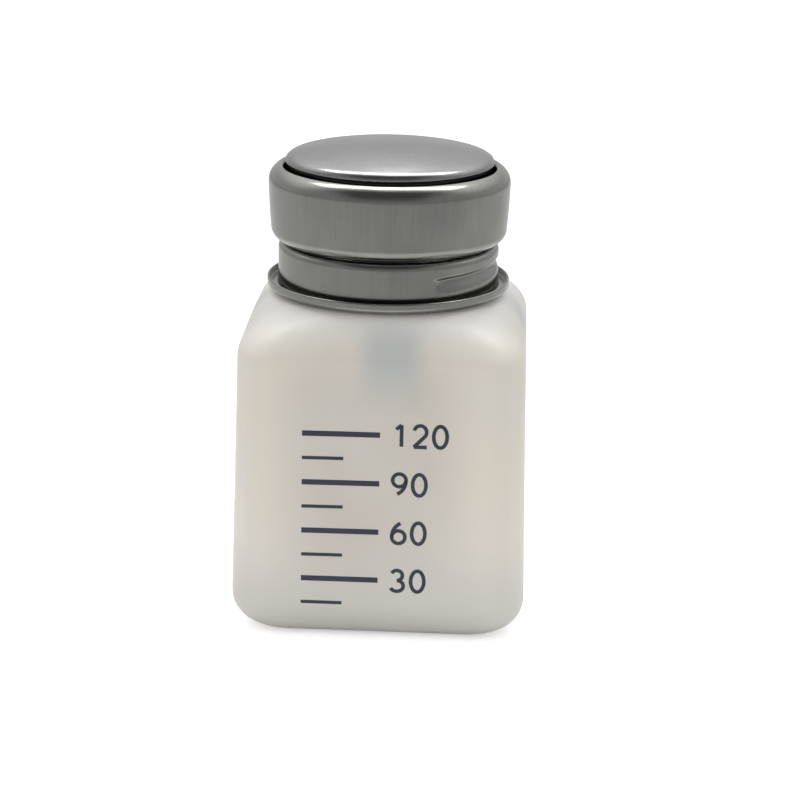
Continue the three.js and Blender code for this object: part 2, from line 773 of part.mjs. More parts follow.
// Hinge bracket: a curved plate spot-welded to the cup's back, with an ear and a knuckle at each side
function hingeBracket() {
  const inner = cupRadius + seatGap;
  const outer = inner + bracketSheet;
  const plateTop = hingeZ - knuckleRadius - slideGap;
  const plateBottom = cupBottom + cupBottomRadius;
  const halfAngle = Math.asin((hingeWidth / 2 + bracketMargin) / outer);
  const from = Math.PI / 2 - halfAngle;
  const to = Math.PI / 2 + halfAngle;
  const outline = new THREE.Shape().absarc(0, 0, outer, from, to).absarc(0, 0, inner, to, from, true);
  const plate = new THREE.ExtrudeGeometry(outline,
    { depth: plateTop - plateBottom, bevelEnabled: false, curveSegments: bracketArcSteps });
  plate.translate(0, 0, plateBottom);
  const pieces = [plate];
  const innerX = lidKnuckleWidth / 2 + slideGap;
  const outerX = hingeWidth / 2;
  for (const side of [-1, 1]) {
    const [fromX, toX] = side < 0 ? [-outerX, -innerX] : [innerX, outerX];
    const ear = new THREE.Shape([
      point(inner, plateTop - bracketSheet),
      point(inner, plateTop),
      point(hingeY - knuckleRadius, hingeZ),
      point(hingeY - knuckleBore, hingeZ),
      point(outer, plateTop - bracketSheet),
    ]);
    pieces.push(extrudedAcross(ear, fromX, toX), knuckle(fromX, toX));
  }
  return join(...pieces);
}

function hingePin() {
  const end = hingeWidth / 2 + slideGap;
  const head = end + pinHeadLength;
  const headRadius = pinRadius + pinHeadWidth;
  const pin = turned([
    point(0, -head),
    point(headRadius, -head),
    point(headRadius, -end),
    point(pinRadius, -end),
    point(pinRadius, end),
    point(headRadius, end),
    point(headRadius, head),
    point(0, head),
  ], smallSteps / 2, false);
  pin.rotateY(Math.PI / 2);
  pin.translate(0, hingeY, hingeZ);
  return pin;
}

// Bottle and neck
addPiece('bottle', bottle(), 'milkyPlastic');
const gasketOuter = riserRadius - sheet - slideGap;
addPiece('neck_gasket', tube(gasketOuter - gasketWidth, gasketOuter, gasketBottom,
  gasketBottom + gasketThickness, largeSteps), 'paleRubber');
addPiece('neck_shell', neckShell(), 'steel');
addPiece('upper_cup', upperCup(), 'steel');

// Pump, fixed to the deck
addPiece('pump_housing', pumpHousing(), 'whitePlastic');
addPiece('deck_seal', tube(deckHoleRadius, deckHoleRadius + deckSealWidth, sealTop - deckSealThickness,
  sealTop), 'darkRubber');
addPiece('clamp_washer', tube(deckHoleRadius, deckHoleRadius + clampWasherWidth,
  washerTop - clampWasherThickness, washerTop), 'steel');
addPiece('clamp_nut', hexNut(deckHoleRadius, clampNutWall, clampNutTop - clampNutThickness,
  clampNutThickness), 'brass');
addPiece('stem_guide', tube(stemRadius + slideGap, guideBore - slideGap, guideBottom, flangeTop),
  'whitePlastic');
const stemRing = new THREE.TorusGeometry(ringRadius, ringSection, ballRings, smallSteps);
stemRing.translate(0, 0, (guideSeat + guideBottom) / 2);
addPiece('stem_o_ring', closed(stemRing), 'darkRubber');
addPiece('dip_tube', tube(dipTubeRadius - dipTubeWall, dipTubeRadius, bottleFloor + dipTubeFloorGap,
  socketTop - seatGap), 'whitePlastic');
const coneSeatRise = (inletBallRadius + ballGap) * Math.SQRT2;
addPiece('inlet_ball', ball(inletBallRadius, passageTop - valveSeatRadius + coneSeatRise), 'steel');
addPiece('return_spring', returnSpring(), 'steel');

// Plunger, which moves down when the dish is pressed
addPiece('piston_seal', pistonSeal(), 'paleRubber');
addPiece('piston_stem', pistonStem(), 'steel');
addPiece('outlet_ball', ball(outletBallRadius, outletSeat + ballRise(outletBallRadius, stemBore)), 'steel');
addPiece('dish_nut', hexNut(nozzleSleeveRadius + slideGap, dishNutWall, dishNutBottom, dishNutThickness),
  'brass');
addPiece('press_dish', pressDish(), 'steel');
addPiece('dish_nozzle', dishNozzle(), 'brass');

// Lid and hinge
addPiece('lid', lid(), 'steel');
addPiece('lid_liner', lidLiner(), 'whitePlastic');
addPiece('hinge_bracket', hingeBracket(), 'steel');
addPiece('hinge_pin', hingePin(), 'steel');

export default dispenser;
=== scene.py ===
"""A press-down liquid dispenser: a milky square bottle under a satin steel pump head with a flip lid.

Every shown piece is a closed surface worked out from a formula, in metres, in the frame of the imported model:
+Z is up, the bottle stands at z = 0, its front faces -Y and the lid's hinge is at +Y. Angles around the axis
run from the front to the right.
"""
import json
import math

import bpy
import numpy as np
from mathutils import Matrix, Vector


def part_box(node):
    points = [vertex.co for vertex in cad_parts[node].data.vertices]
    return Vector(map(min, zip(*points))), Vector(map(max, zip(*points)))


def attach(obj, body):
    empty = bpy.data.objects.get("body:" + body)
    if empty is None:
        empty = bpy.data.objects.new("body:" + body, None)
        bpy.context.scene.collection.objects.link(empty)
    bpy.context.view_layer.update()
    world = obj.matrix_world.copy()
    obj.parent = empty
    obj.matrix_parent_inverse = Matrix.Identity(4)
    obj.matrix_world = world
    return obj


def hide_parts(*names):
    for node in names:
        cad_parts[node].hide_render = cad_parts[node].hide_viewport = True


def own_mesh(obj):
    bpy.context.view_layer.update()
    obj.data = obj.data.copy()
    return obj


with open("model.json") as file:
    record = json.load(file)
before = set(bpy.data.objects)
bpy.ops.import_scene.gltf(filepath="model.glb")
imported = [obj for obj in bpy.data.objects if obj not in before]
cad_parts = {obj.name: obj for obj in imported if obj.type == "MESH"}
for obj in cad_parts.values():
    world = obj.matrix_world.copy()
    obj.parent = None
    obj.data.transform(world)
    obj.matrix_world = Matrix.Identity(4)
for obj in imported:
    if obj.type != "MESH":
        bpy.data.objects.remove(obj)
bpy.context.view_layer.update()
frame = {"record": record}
record = frame["record"]

mm = 0.001
degree = math.pi / 180

# Fineness of the surfaces
large_around = 224
small_around = 72
outline_step = 0.16 * mm
edge_round = 0.08 * mm
fillet_steps = 4
cap_steps = 5
foot_rings = 4
foot_slope_rings = 6
base_edge_rings = 14
wall_rings = 26
shoulder_rings = 28
neck_rings = 62
cup_bottom_points = 18
cup_wall_points = 12
cup_shoulder_points = 26
cup_mouth_points = 8
bowl_points = 30
lid_middle_points = 30
lid_edge_points = 26
straight_points = 12
roll_points = 44
plate_points = 28
ring_section_points = 20
wire_section_points = 12
wire_points_a_curl = 64
bow_points = 60

# Running and seating clearances, as in the frame
gap = 0.3 * mm

# Levels and radii of the frame that several pieces share
neck_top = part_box("bottle")[1].z
cup_low, cup_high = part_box("upper_cup")
lid_rim_bottom = cup_high.z + gap

# Bottle
bottle_base_width = 58 * mm
bottle_top_width = 56 * mm
bottle_wall_top = 56.4 * mm
bottle_corner = 8 * mm
bottle_base_round = 7.8 * mm
bottle_wall = 1.2 * mm
bottle_foot_half = 15 * mm
bottle_foot_slope = 3 * mm
bottle_foot_rise = 1.5 * mm
bottle_face_sink = 0.25 * mm
bottle_sunk_share = 0.7
bottle_lip_round = 0.4 * mm
shoulder_top = 65.4 * mm
shoulder_land = 1.7 * mm
shoulder_inward_power = 1.5
shoulder_upward_power = 1.15
shoulder_back_fill = 0.4
neck_radius = 19.7 * mm
neck_wall = 1.6 * mm
side_points = 26
corner_points = 16

# Neck thread, and the bead rolled into the neck shell along it
thread_pitch = 4.233 * mm
thread_depth = 1.25 * mm
thread_root_half = 0.95 * mm
thread_tip_half = 0.35 * mm
thread_above_bead = 1.7 * mm
thread_span_degrees = (-240, 170)
thread_run_out_degrees = 20
bead_drop = 4.9 * mm
bead_middle_degrees = 90
bead_half_width = 1.7 * mm
bead_depth = 0.75 * mm
bead_crest_share = 0.56
bead_span_degrees = (25, 140)
bead_run_out_degrees = 10

# Sheet steel of the pump head
sheet = 0.5 * mm
skirt_radius = 22 * mm
saucer_bend = 0.5 * mm
saucer_height = 1.9 * mm
shell_shoulder = 1.5 * mm
deck_hole = 5.8 * mm
cup_taper = 0.5 * mm
cup_bottom_round = 2.5 * mm
cup_shoulder_round = 3.4 * mm
cup_shoulder_degrees = 68
cup_mouth_sink = 0.17 * mm
cup_mouth_bend = 0.5 * mm
cup_mouth_lip = 1.4 * mm
cup_collar_height = 1.6 * mm
cup_wall_bulge = 0.06 * mm

# Dish, nozzle and nuts
dish_rim_bend = 0.5 * mm
dish_flat_radius = 6.4 * mm
dish_hole_radius = 3.7 * mm
dish_flat_top = 86.9 * mm
nozzle_bore = 2.3 * mm
nozzle_sleeve = 3.4 * mm
nozzle_flange = 1 * mm
nozzle_bevel = 0.4 * mm
nozzle_ceiling = 0.7 * mm
nozzle_hole = 0.7 * mm
nozzle_countersink = 0.5 * mm
nozzle_round = (nozzle_ceiling - nozzle_countersink) / 6
nut_chamfer_degrees = 30

# Lid and hinge
lid_sheet = 0.6 * mm
lid_radius = 20.7 * mm
lid_rim_height = 1.05 * mm
lid_edge_power = 26
lid_edge_start_share = 0.25
lid_dome_power = 2.2
lid_skirt_radius = 20.2 * mm
lid_skirt_wall = 0.3 * mm
lid_skirt_drop = 0.9 * mm
lid_skirt_rise = 0.75 * mm
tongue_width = 5.8 * mm
tongue_sheet = 0.7 * mm
tongue_lap = 0.7 * mm
tongue_lean_degrees = 17
tongue_roll_degrees = 295
hinge_y = 26.3 * mm
hinge_z = 87.9 * mm
hinge_width = 13.6 * mm
knuckle_radius = 1.6 * mm
knuckle_sheet = 0.6 * mm
pin_radius = 0.7 * mm
pin_head_radius = 1.35 * mm
pin_head_length = 0.5 * mm
pin_head_dome = 0.35 * mm
bracket_sheet = 0.8 * mm
bracket_corner = 0.25 * mm
ear_roll_degrees = 300

# Pump inside
flange_radius = 9 * mm
flange_thickness = 1 * mm
boss_radius = 5.5 * mm
boss_length = 12 * mm
guide_bore = 3.8 * mm
guide_depth = 7 * mm
barrel_bore = 3.3 * mm
barrel_radius = 4.3 * mm
barrel_length = 22 * mm
cone_height = 3.4 * mm
chamber_radius = 1.9 * mm
chamber_lip_radius = 1.3 * mm
chamber_lip_height = 0.5 * mm
valve_seat_radius = 1 * mm
moulded_round = 0.2 * mm
cone_round = 0.6 * mm
socket_radius = 3.5 * mm
socket_bore = 2.35 * mm
socket_depth = 4.4 * mm
spring_wire = 0.35 * mm
spring_curls = 10
spring_end_curls = 0.7
spring_closed_curls = 2.4
spring_closed_pitch = 0.95 * mm
stem_bore = 0.8 * mm
stem_valve_bore = 1.5 * mm
stem_valve_depth = 3.4 * mm
stem_socket_radius = 2.3 * mm
piston_socket_depth = 2.5 * mm
piston_lip_width = 0.35 * mm
piston_lip_slope = 0.15 * mm
piston_lip_depth = 1.1 * mm
piston_waist_inset = 0.3 * mm
piston_waist_shares = (0.3, 0.4, 0.76, 0.84)
liner_post_radius = 2.6 * mm
liner_thickness = 0.8 * mm
liner_edge_round = 0.25 * mm
liner_post_round = 0.5 * mm
gasket_width = 2 * mm
deck_seal_width = 4.2 * mm
clamp_washer_width = 3.4 * mm
guide_wall = 1.2 * mm
tube_wall = 0.7 * mm
clamp_nut_bore = 5.8 * mm
dish_nut_bore = 3.7 * mm
inlet_ball_radius = 1.6 * mm
outlet_ball_radius = 1.2 * mm

# Printed level scale on the front
print_proud = 0.05 * mm
print_sunk = 0.3 * mm
millilitre = 1e-6
scale_volumes = (30, 60, 90, 120)
scale_long_tick = 15 * mm
scale_short_tick = 8 * mm
scale_long_thick = 1.1 * mm
scale_short_thick = 0.7 * mm
digit_height = 4.3 * mm
digit_thick = 0.75 * mm
digit_step_share = 0.9
digit_gap = 2.6 * mm

# Tints of the milky bottle: each goes from none to full between two distances or heights
pale_corner_across = (30 * mm, 24 * mm)
pale_shoulder_up = (65 * mm, 57 * mm)
# Painted shade of the pump inside: the faces greyer over their middle
shade_middle = -1.5 * mm
shade_across = (24 * mm, 8 * mm)
shade_up = (66 * mm, 48 * mm)
low_shade_up = (22 * mm, 8 * mm)
# Painted shadow of the pump's barrel, seen through the wall
barrel_shade_middle = 2.4 * mm
barrel_shade_across = (8.5 * mm, 2 * mm)
barrel_shade_start_up = (45 * mm, 57 * mm)
barrel_shade_end_up = (66 * mm, 60 * mm)

# Depths of marks and grain, and the part of a noise that makes soft patches
bottle_grain_depth = 0.04 * mm
steel_mark_depth = 0.008 * mm
turning_ring_depth = 0.01 * mm
plastic_grain_depth = 0.02 * mm
rubber_grain_depth = 0.04 * mm
ink_grain_depth = 0.01 * mm
patch_limits = (0.3, 0.7)


# Outlines: (radius, height) points in a half plane through the axis


def unit(vectors):
    """Vectors scaled to length one."""
    return vectors / np.linalg.norm(vectors, axis=-1, keepdims=True)


def eased(share):
    """A share that starts and ends gently: 3 s^2 - 2 s^3."""
    return share ** 2 * (3 - 2 * share)


def filleted(corners, closed=True):
    """An outline with round corners.

    A corner is (radius, height) or (radius, height, fillet). With d1 and d2 the directions to its neighbours
    and 2a the angle between them, the fillet's centre lies fillet / sin(a) from the corner along d1 + d2, and
    its arc runs between the points fillet / tan(a) along d1 and d2. An open outline keeps its two ends.
    """
    at = np.array([corner[:2] for corner in corners])
    fillet = np.array([corner[2] if len(corner) > 2 else edge_round for corner in corners])[:, None]
    to_before = unit(np.roll(at, 1, axis=0) - at)
    to_after = unit(np.roll(at, -1, axis=0) - at)
    half = np.arccos(np.clip((to_before * to_after).sum(1), -1, 1))[:, None] / 2
    centre = at + unit(to_before + to_after) * fillet / np.sin(half)
    start = at + to_before * fillet / np.tan(half) - centre
    end = at + to_after * fillet / np.tan(half) - centre
    spread = (np.pi - 2 * half)[:, None]
    share = np.linspace(0, 1, fillet_steps + 1)[None, :, None]
    arcs = start[:, None] * np.sin((1 - share) * spread) + end[:, None] * np.sin(share * spread)
    arcs = arcs / np.sin(spread) + centre[:, None]
    if closed:
        return arcs.reshape(-1, 2)
    return np.concatenate([at[:1], arcs[1:-1].reshape(-1, 2), at[-1:]])


def arc(middle, radii, start, end, count):
    """Points of an arc of a circle or ellipse: middle + radii (cos b, sin b), b from start to end."""
    b = np.linspace(start, end, count)[:, None]
    return np.array(middle) + np.array(radii) * np.concatenate([np.cos(b), np.sin(b)], 1)


def circle(middle, radius, count):
    """Points once around a circle."""
    return arc(middle, radius, 0, 2 * np.pi, count + 1)[:-1]


def resampled(line):
    """The same line with points at even distances along it, each placed by linear interpolation."""
    travelled = np.concatenate([[0], np.cumsum(np.linalg.norm(np.diff(line, axis=0), axis=1))])
    places = np.linspace(0, travelled[-1], max(int(travelled[-1] / outline_step), 2))
    return np.stack([np.interp(places, travelled, line[:, i]) for i in range(2)], 1)


def sheet_outline(line, thickness, starts_on_axis=False):
    """The outline of a bent sheet: its middle line moved half a thickness to each side, ends half round.

    A line that starts on the axis leaves its outline open there.
    """
    half = thickness / 2
    along = unit(np.gradient(line, axis=0))
    if starts_on_axis:
        along[0] = (1, 0)
    normal = np.stack([-along[:, 1], along[:, 0]], 1)
    turn = np.linspace(0, np.pi, cap_steps + 2)[1:-1, None]
    far_cap = line[-1] + half * (normal[-1] * np.cos(turn) + along[-1] * np.sin(turn))
    near_cap = line[0] - half * (normal[0] * np.cos(turn) + along[0] * np.sin(turn))
    sides = [line + half * normal, far_cap, (line - half * normal)[::-1]]
    return np.concatenate(sides if starts_on_axis else sides + [near_cap])


# Skins: the points, normals and faces of closed surfaces


def skin(grid, closed=True):
    """The skin over a grid of points (rows, columns, 3) whose columns go once around.

    A closed grid's rows join up too, as on a ring; otherwise its first and last rows are single points, the
    poles. A normal is the cross product of the steps between the neighbours on both sides, so that wide faces
    count most, and a pole's is the mean of its neighbours'. The signed volume tells which way is out.
    """
    rows, columns = grid.shape[:2]
    down = np.roll(grid, -1, axis=0) - np.roll(grid, 1, axis=0)
    across = np.roll(grid, -1, axis=1) - np.roll(grid, 1, axis=1)
    normals = np.cross(across, down)
    index = np.arange(rows * columns).reshape(rows, columns)
    if closed:
        points = grid.reshape(-1, 3)
        normals = normals.reshape(-1, 3)
        above, below = index, np.roll(index, -1, axis=0)
    else:
        index = np.clip(index - columns + 1, 0, (rows - 2) * columns + 1)
        points = np.concatenate([grid[0, :1], grid[1:-1].reshape(-1, 3), grid[-1, :1]])
        poles = normals[[1, -2]].mean(1)
        normals = np.concatenate([poles[:1], normals[1:-1].reshape(-1, 3), poles[1:]])
        above, below = index[:-1], index[1:]
    quads = np.stack([above, np.roll(above, -1, axis=1), np.roll(below, -1, axis=1), below], -1)
    faces = [quads.reshape(-1, 4)]
    if not closed:
        faces = [quads[1:-1].reshape(-1, 4), quads[0][:, [0, 2, 3]], quads[-1][:, [0, 1, 2]]]
    corners = [block[:, [0, i, i + 1]] for block in faces for i in range(1, block.shape[1] - 1)]
    first, second, third = points[np.concatenate(corners)].transpose(1, 0, 2)
    if (first * np.cross(second, third)).sum() < 0:
        faces = [block[:, ::-1] for block in faces]
        normals = -normals
    length = np.linalg.norm(normals, axis=1, keepdims=True)
    return points, normals / np.where(length > 0, length, 1), faces


def revolved(outline, around=large_around, closed=True):
    """A surface of revolution.

    Its outline's points (radius r, height z) go round the axis to (r sin a, -r cos a, z). The outline may
    change with the angle: then it has the shape (points, around, 2).
    """
    angle = np.linspace(0, 2 * np.pi, around, endpoint=False)[None, :]
    if outline.ndim == 2:
        outline = np.broadcast_to(outline[:, None], (len(outline), around, 2))
    radius, height = outline[..., 0], outline[..., 1]
    return skin(np.stack([radius * np.sin(angle), -radius * np.cos(angle), height], -1), closed)


def turned(corners, around=small_around, closed=True):
    """A turned piece: an outline with round corners, carried around the axis."""
    return revolved(filleted(corners, closed), around, closed)


def swept(path, side, up, section):
    """A section carried along a path.

    Each section point (a, b) goes to path + a * side + b * up, and the ends are closed flat.
    """
    grid = path[:, None] + section[None, :, :1] * side[:, None] + section[None, :, 1:] * up[:, None]
    ends = [np.broadcast_to(path[i], (1, len(section), 3)) for i in (0, -1)]
    return skin(np.concatenate([ends[0], grid, ends[1]]), closed=False)


def rounded_bar(width, height, fillet=edge_round):
    """The section of a bar with round edges."""
    half_width, half_height = width / 2, height / 2
    return filleted([(-half_width, -half_height, fillet), (half_width, -half_height, fillet),
                     (half_width, half_height, fillet), (-half_width, half_height, fillet)])


def strip_across(line, width, middle_x, thickness):
    """A strip bent along a line of (y, z) points and extending across X, with round edges."""
    path = np.stack([np.full(len(line), middle_x), line[:, 0], line[:, 1]], 1)
    along = unit(np.gradient(path, axis=0))
    side = np.tile([1.0, 0, 0], (len(line), 1))
    return swept(path, side, np.cross(side, along), rounded_bar(width, thickness))


def washer(inner, outer, bottom, top, around=small_around):
    """A flat ring with round edges."""
    return turned([(inner, bottom), (outer, bottom), (outer, top), (inner, top)], around)


def ball_skin(low, high, radius):
    """A ball on the axis: (r cos b, middle + r sin b) turned about it, b from -90 to 90 degrees."""
    outline = arc((0, (low.z + high.z) / 2), radius, -np.pi / 2, np.pi / 2, small_around // 2)
    return revolved(outline, small_around, closed=False)


def nut_skin(low, high, bore):
    """A hexagon nut: its outside radius is that of the hexagon, f / cos(angle to the flat's middle), cut by
    a cone at 30 degrees at both ends."""
    corner_radius = high.x
    flat = corner_radius * math.cos(np.pi / 6)
    angle = np.linspace(0, 2 * np.pi, 2 * small_around, endpoint=False)
    from_flat = (angle - np.pi / 2 + np.pi / 6) % (np.pi / 3) - np.pi / 6
    hexagon = flat / np.cos(from_flat)
    chamfer = (corner_radius - flat) * math.tan(nut_chamfer_degrees * degree)
    depth = np.linspace(0, chamfer, fillet_steps + 1)
    cone = flat + depth / math.tan(nut_chamfer_degrees * degree)
    levels = np.concatenate([low.z + depth, high.z - depth[::-1]])
    outside = np.minimum(np.concatenate([cone, cone[::-1]])[:, None], hexagon[None, :])
    around = np.ones(len(angle))
    rings = [(around * (bore + edge_round), low.z), *zip(outside, levels),
             (around * (bore + edge_round), high.z), (around * bore, high.z - edge_round),
             (around * bore, low.z + edge_round)]
    outline = np.stack([np.stack([radius, around * level], 1) for radius, level in rings])
    return revolved(outline, len(angle))


# Bottle


def square_ring(half, corner):
    """A square with round corners, once around, for each level.

    In each quarter x = f + c cos b and y = f s + c sin b, with f = half width - corner radius c; first s runs
    from -1 to 1 along the side at b = 0, then b runs from 0 to 90 degrees.
    """
    s = np.r_[np.linspace(-1, 1, side_points, endpoint=False), np.ones(corner_points)]
    b = np.r_[np.zeros(side_points), np.linspace(0, np.pi / 2, corner_points, endpoint=False)]
    flat = (half - corner)[:, None]
    x = flat + corner[:, None] * np.cos(b)
    y = flat * s + corner[:, None] * np.sin(b)
    return np.concatenate([np.stack([x, y], -1), np.stack([-y, x], -1), np.stack([-x, -y], -1),
                           np.stack([y, -x], -1)], axis=1)


def raised(flat, height):
    """Rows of flat points with their heights, as (rows, points, 3)."""
    return np.concatenate([flat, np.broadcast_to(height, flat.shape[:2])[..., None]], axis=2)


def level_rings(half, corner, height):
    """Square rings, each at its own height."""
    return raised(square_ring(half, corner), height[:, None])


def base_edge(inset, floor, edge_radius):
    """The round edge between base and walls: a quarter circle carried around the square."""
    b = np.linspace(0, np.pi / 2, base_edge_rings)
    inward = edge_radius * (1 - np.sin(b))
    half = bottle_base_width / 2 - inset
    corner = (bottle_corner - inset) * (1 - inward / half)
    return level_rings(half - inward, corner, floor + edge_radius * (1 - np.cos(b)))


def face_sink(across_share, up_share):
    """How far a wall is sunk: d cos^2 across its middle part and sin up it."""
    across = np.clip(across_share / bottle_sunk_share, -1, 1)
    return bottle_face_sink * np.cos(across * np.pi / 2) ** 2 * np.sin(np.pi * up_share)


def side_walls(inset, bottom):
    """The walls, which lean in a little and whose faces are sunk."""
    share = np.linspace(0, 1, wall_rings)[1:-1]
    half = bottle_base_width / 2 - inset + (bottle_top_width - bottle_base_width) / 2 * share
    height = bottom + (bottle_wall_top - bottom) * share
    rings = level_rings(half, np.full(len(share), bottle_corner - inset), height)
    for axis in (0, 1):
        on_face = np.abs(rings[..., axis]) > half[:, None] - edge_round
        sink = face_sink(rings[..., 1 - axis] / half[:, None], share[:, None])
        rings[..., axis] -= np.sign(rings[..., axis]) * on_face * sink
    return rings


def shoulder(inset, land_radius, top):
    """The shoulder from the square walls in to a circle.

    Along each direction the reach is R + (square's reach - R) cos(b)^1.5, and the height rises with
    sin(b)^1.15, b from 0 to 90 degrees. Towards the two back corners the first power sinks to 1.1, so that
    the shoulder is fuller there.
    """
    b = np.linspace(0, np.pi / 2, shoulder_rings)
    square = square_ring(np.array([bottle_top_width / 2 - inset]), np.array([bottle_corner - inset]))
    reach = np.linalg.norm(square, axis=-1)
    to_corner = (reach - reach.min()) / np.ptp(reach)
    power = shoulder_inward_power - shoulder_back_fill * to_corner * (square[..., 1] > 0)
    inward = np.clip(np.cos(b), 0, 1)[:, None] ** power
    scale = (land_radius + (reach - land_radius) * inward) / reach
    height = bottle_wall_top + (top - bottle_wall_top) * np.sin(b) ** shoulder_upward_power
    return raised(square * scale[..., None], height[:, None])


def round_rings(directions, outline):
    """Rings about the axis through the given directions, from an outline whose radius may vary with them."""
    radius, height = outline
    return raised(directions[None] * radius[..., None], height)


def bead_height(degrees):
    """Height of the rolled bead's middle line, which climbs one pitch a turn."""
    return neck_top - bead_drop + thread_pitch * (degrees - bead_middle_degrees) / 360


def thread_ridge(degrees, height):
    """How far the screw thread stands out of the neck: a trapezoid about a helix, shrinking at its ends."""
    ridge = np.zeros(np.broadcast(degrees, height).shape)
    for whole_turns in (0, -360):
        turn = degrees + whole_turns
        inside = np.minimum(turn - thread_span_degrees[0], thread_span_degrees[1] - turn)
        grown = np.clip(inside / thread_run_out_degrees, 0, 1)
        off = np.abs(height - bead_height(turn) - thread_above_bead)
        flank = np.clip((thread_root_half - off) / (thread_root_half - thread_tip_half), 0, 1)
        ridge = np.maximum(ridge, thread_depth * grown * flank)
    return ridge


def bottle_skin(_, high):
    """The blow-moulded bottle, outside and inside, from the middle of its base up over the neck and back."""
    slope = np.linspace(0, 1, foot_slope_rings)
    foot_flat = (bottle_foot_half - bottle_foot_slope) * np.linspace(0, 1, foot_rings, endpoint=False)
    foot_half = np.r_[foot_flat, bottle_foot_half - bottle_foot_slope * (1 - slope)]
    foot_height = np.r_[np.full(foot_rings, bottle_foot_rise), bottle_foot_rise * (1 - eased(slope))]
    foot = level_rings(foot_half, bottle_corner * foot_half / (bottle_base_width / 2), foot_height)
    outer_edge = base_edge(0, 0, bottle_base_round)
    outer_walls = side_walls(0, bottle_base_round)
    outer_shoulder = shoulder(0, neck_radius + shoulder_land, shoulder_top)
    ring = outer_shoulder[-1, :, :2]
    directions = ring / np.linalg.norm(ring, axis=1, keepdims=True)
    degrees = np.degrees(np.arctan2(directions[:, 0], -directions[:, 1]))[None, :]
    lip = bottle_lip_round
    height = np.linspace(shoulder_top + lip, neck_top - lip, neck_rings)[:, None] + 0 * degrees
    radius = neck_radius + thread_ridge(degrees, height)
    root = filleted([(neck_radius + shoulder_land, shoulder_top), (neck_radius, shoulder_top, lip),
                     (neck_radius, neck_top - lip)], closed=False)[1:-1]
    neck_bore = neck_radius - neck_wall
    rim = filleted([(neck_radius, neck_top - lip), (neck_radius, neck_top, lip), (neck_bore, neck_top, lip),
                    (neck_bore, neck_top - lip)], closed=False)[1:-1]
    all_around = np.ones((1, len(directions)))
    neck_root, neck_rim = (round_rings(directions, (line[:, :1] * all_around, line[:, 1:] * all_around))
                           for line in (root, rim))
    inside_floor = bottle_foot_rise + bottle_wall
    inner = np.concatenate([base_edge(bottle_wall, inside_floor, bottle_base_round - bottle_wall),
                            side_walls(bottle_wall, bottle_foot_rise + bottle_base_round),
                            shoulder(bottle_wall, neck_bore, shoulder_top - bottle_wall)])
    floor_middle = np.broadcast_to(np.array([0, 0, inside_floor]), (1, len(directions), 3))
    grid = np.concatenate([foot, outer_edge, outer_walls, outer_shoulder, neck_root,
                           round_rings(directions, (radius, height)), neck_rim, inner[::-1], floor_middle])
    return skin(grid, closed=False)


# Steel pressings of the pump head


def neck_shell_skin(low, high):
    """Saucer, skirt, shoulder, riser and deck as one drawn sheet.

    The rolled bead presses the skirt in along a helix by d cos^2 of the way from its crest, which lies nearer
    to its upper edge than to its lower one, and d fades in and out over the bead's ends.
    """
    half = sheet / 2
    shoulder_level = cup_low.z - gap - half
    rim = high.x - half
    skirt = skirt_radius - half
    riser = skirt_radius - shell_shoulder - half
    floor = low.z + half
    deck = high.z - half
    line = resampled(filleted([
        (rim, low.z + saucer_height - half), (rim, floor, saucer_bend), (skirt, floor, saucer_bend),
        (skirt, shoulder_level, shell_shoulder - half), (riser, shoulder_level, saucer_bend),
        (riser, deck, saucer_bend), (deck_hole, deck),
    ], closed=False))
    outline = sheet_outline(line, sheet)
    degrees = np.linspace(0, 360, large_around, endpoint=False)[None, :]
    inside = np.minimum(degrees - bead_span_degrees[0], bead_span_degrees[1] - degrees)
    fade = np.clip(inside / bead_run_out_degrees, 0, 1)
    depth = bead_depth * eased(fade)
    off = (outline[:, 1:] - bead_height(degrees)) / bead_half_width - bead_crest_share
    off = np.clip(off / np.where(off > 0, 1 - bead_crest_share, 1 + bead_crest_share), -1, 1)
    on_skirt = np.abs(outline[:, :1] - skirt) < sheet
    pressed = depth * np.cos(off * np.pi / 2) ** 2 * on_skirt
    radius = outline[:, :1] - pressed
    height = outline[:, 1:] + 0 * degrees
    return revolved(np.stack([radius, height], -1))


def upper_cup_skin(low, high):
    """The wide cup: collar, round bottom, leaning wall, round shoulder and turned-in mouth."""
    half = sheet / 2
    mouth_top = high.z - cup_mouth_sink - half
    collar = skirt_radius - shell_shoulder + gap + half
    wall_top = high.x - half
    wall_foot = wall_top - cup_taper
    bottom_round = cup_bottom_round - half
    shoulder_round = cup_shoulder_round - half
    shoulder_turn = cup_shoulder_degrees * degree
    bottom = (wall_foot - bottom_round, low.z + cup_bottom_round)
    shoulder_middle = (wall_top - shoulder_round, mouth_top - shoulder_round * math.sin(shoulder_turn))
    start = -math.acos((collar - bottom[0]) / bottom_round)
    bottom_arc = arc(bottom, bottom_round, start, 0, cup_bottom_points)
    shoulder_arc = arc(shoulder_middle, shoulder_round, 0, shoulder_turn, cup_shoulder_points)
    share = np.linspace(0, 1, cup_wall_points)[1:-1, None]
    wall = bottom_arc[-1] + (shoulder_arc[0] - bottom_arc[-1]) * share
    wall[:, 0] += cup_wall_bulge * np.sin(np.pi * share[:, 0])
    mouth = shoulder_arc[-1] - np.array([0, cup_mouth_bend])
    mouth_arc = arc(mouth, cup_mouth_bend, shoulder_turn, np.pi, cup_mouth_points)[1:]
    line = np.concatenate([[(bottom_arc[0, 0], bottom_arc[0, 1] + cup_collar_height)],
                           bottom_arc, wall, shoulder_arc, mouth_arc,
                           [(mouth_arc[-1, 0], mouth_arc[-1, 1] - cup_mouth_lip)]])
    return revolved(sheet_outline(resampled(line), sheet))


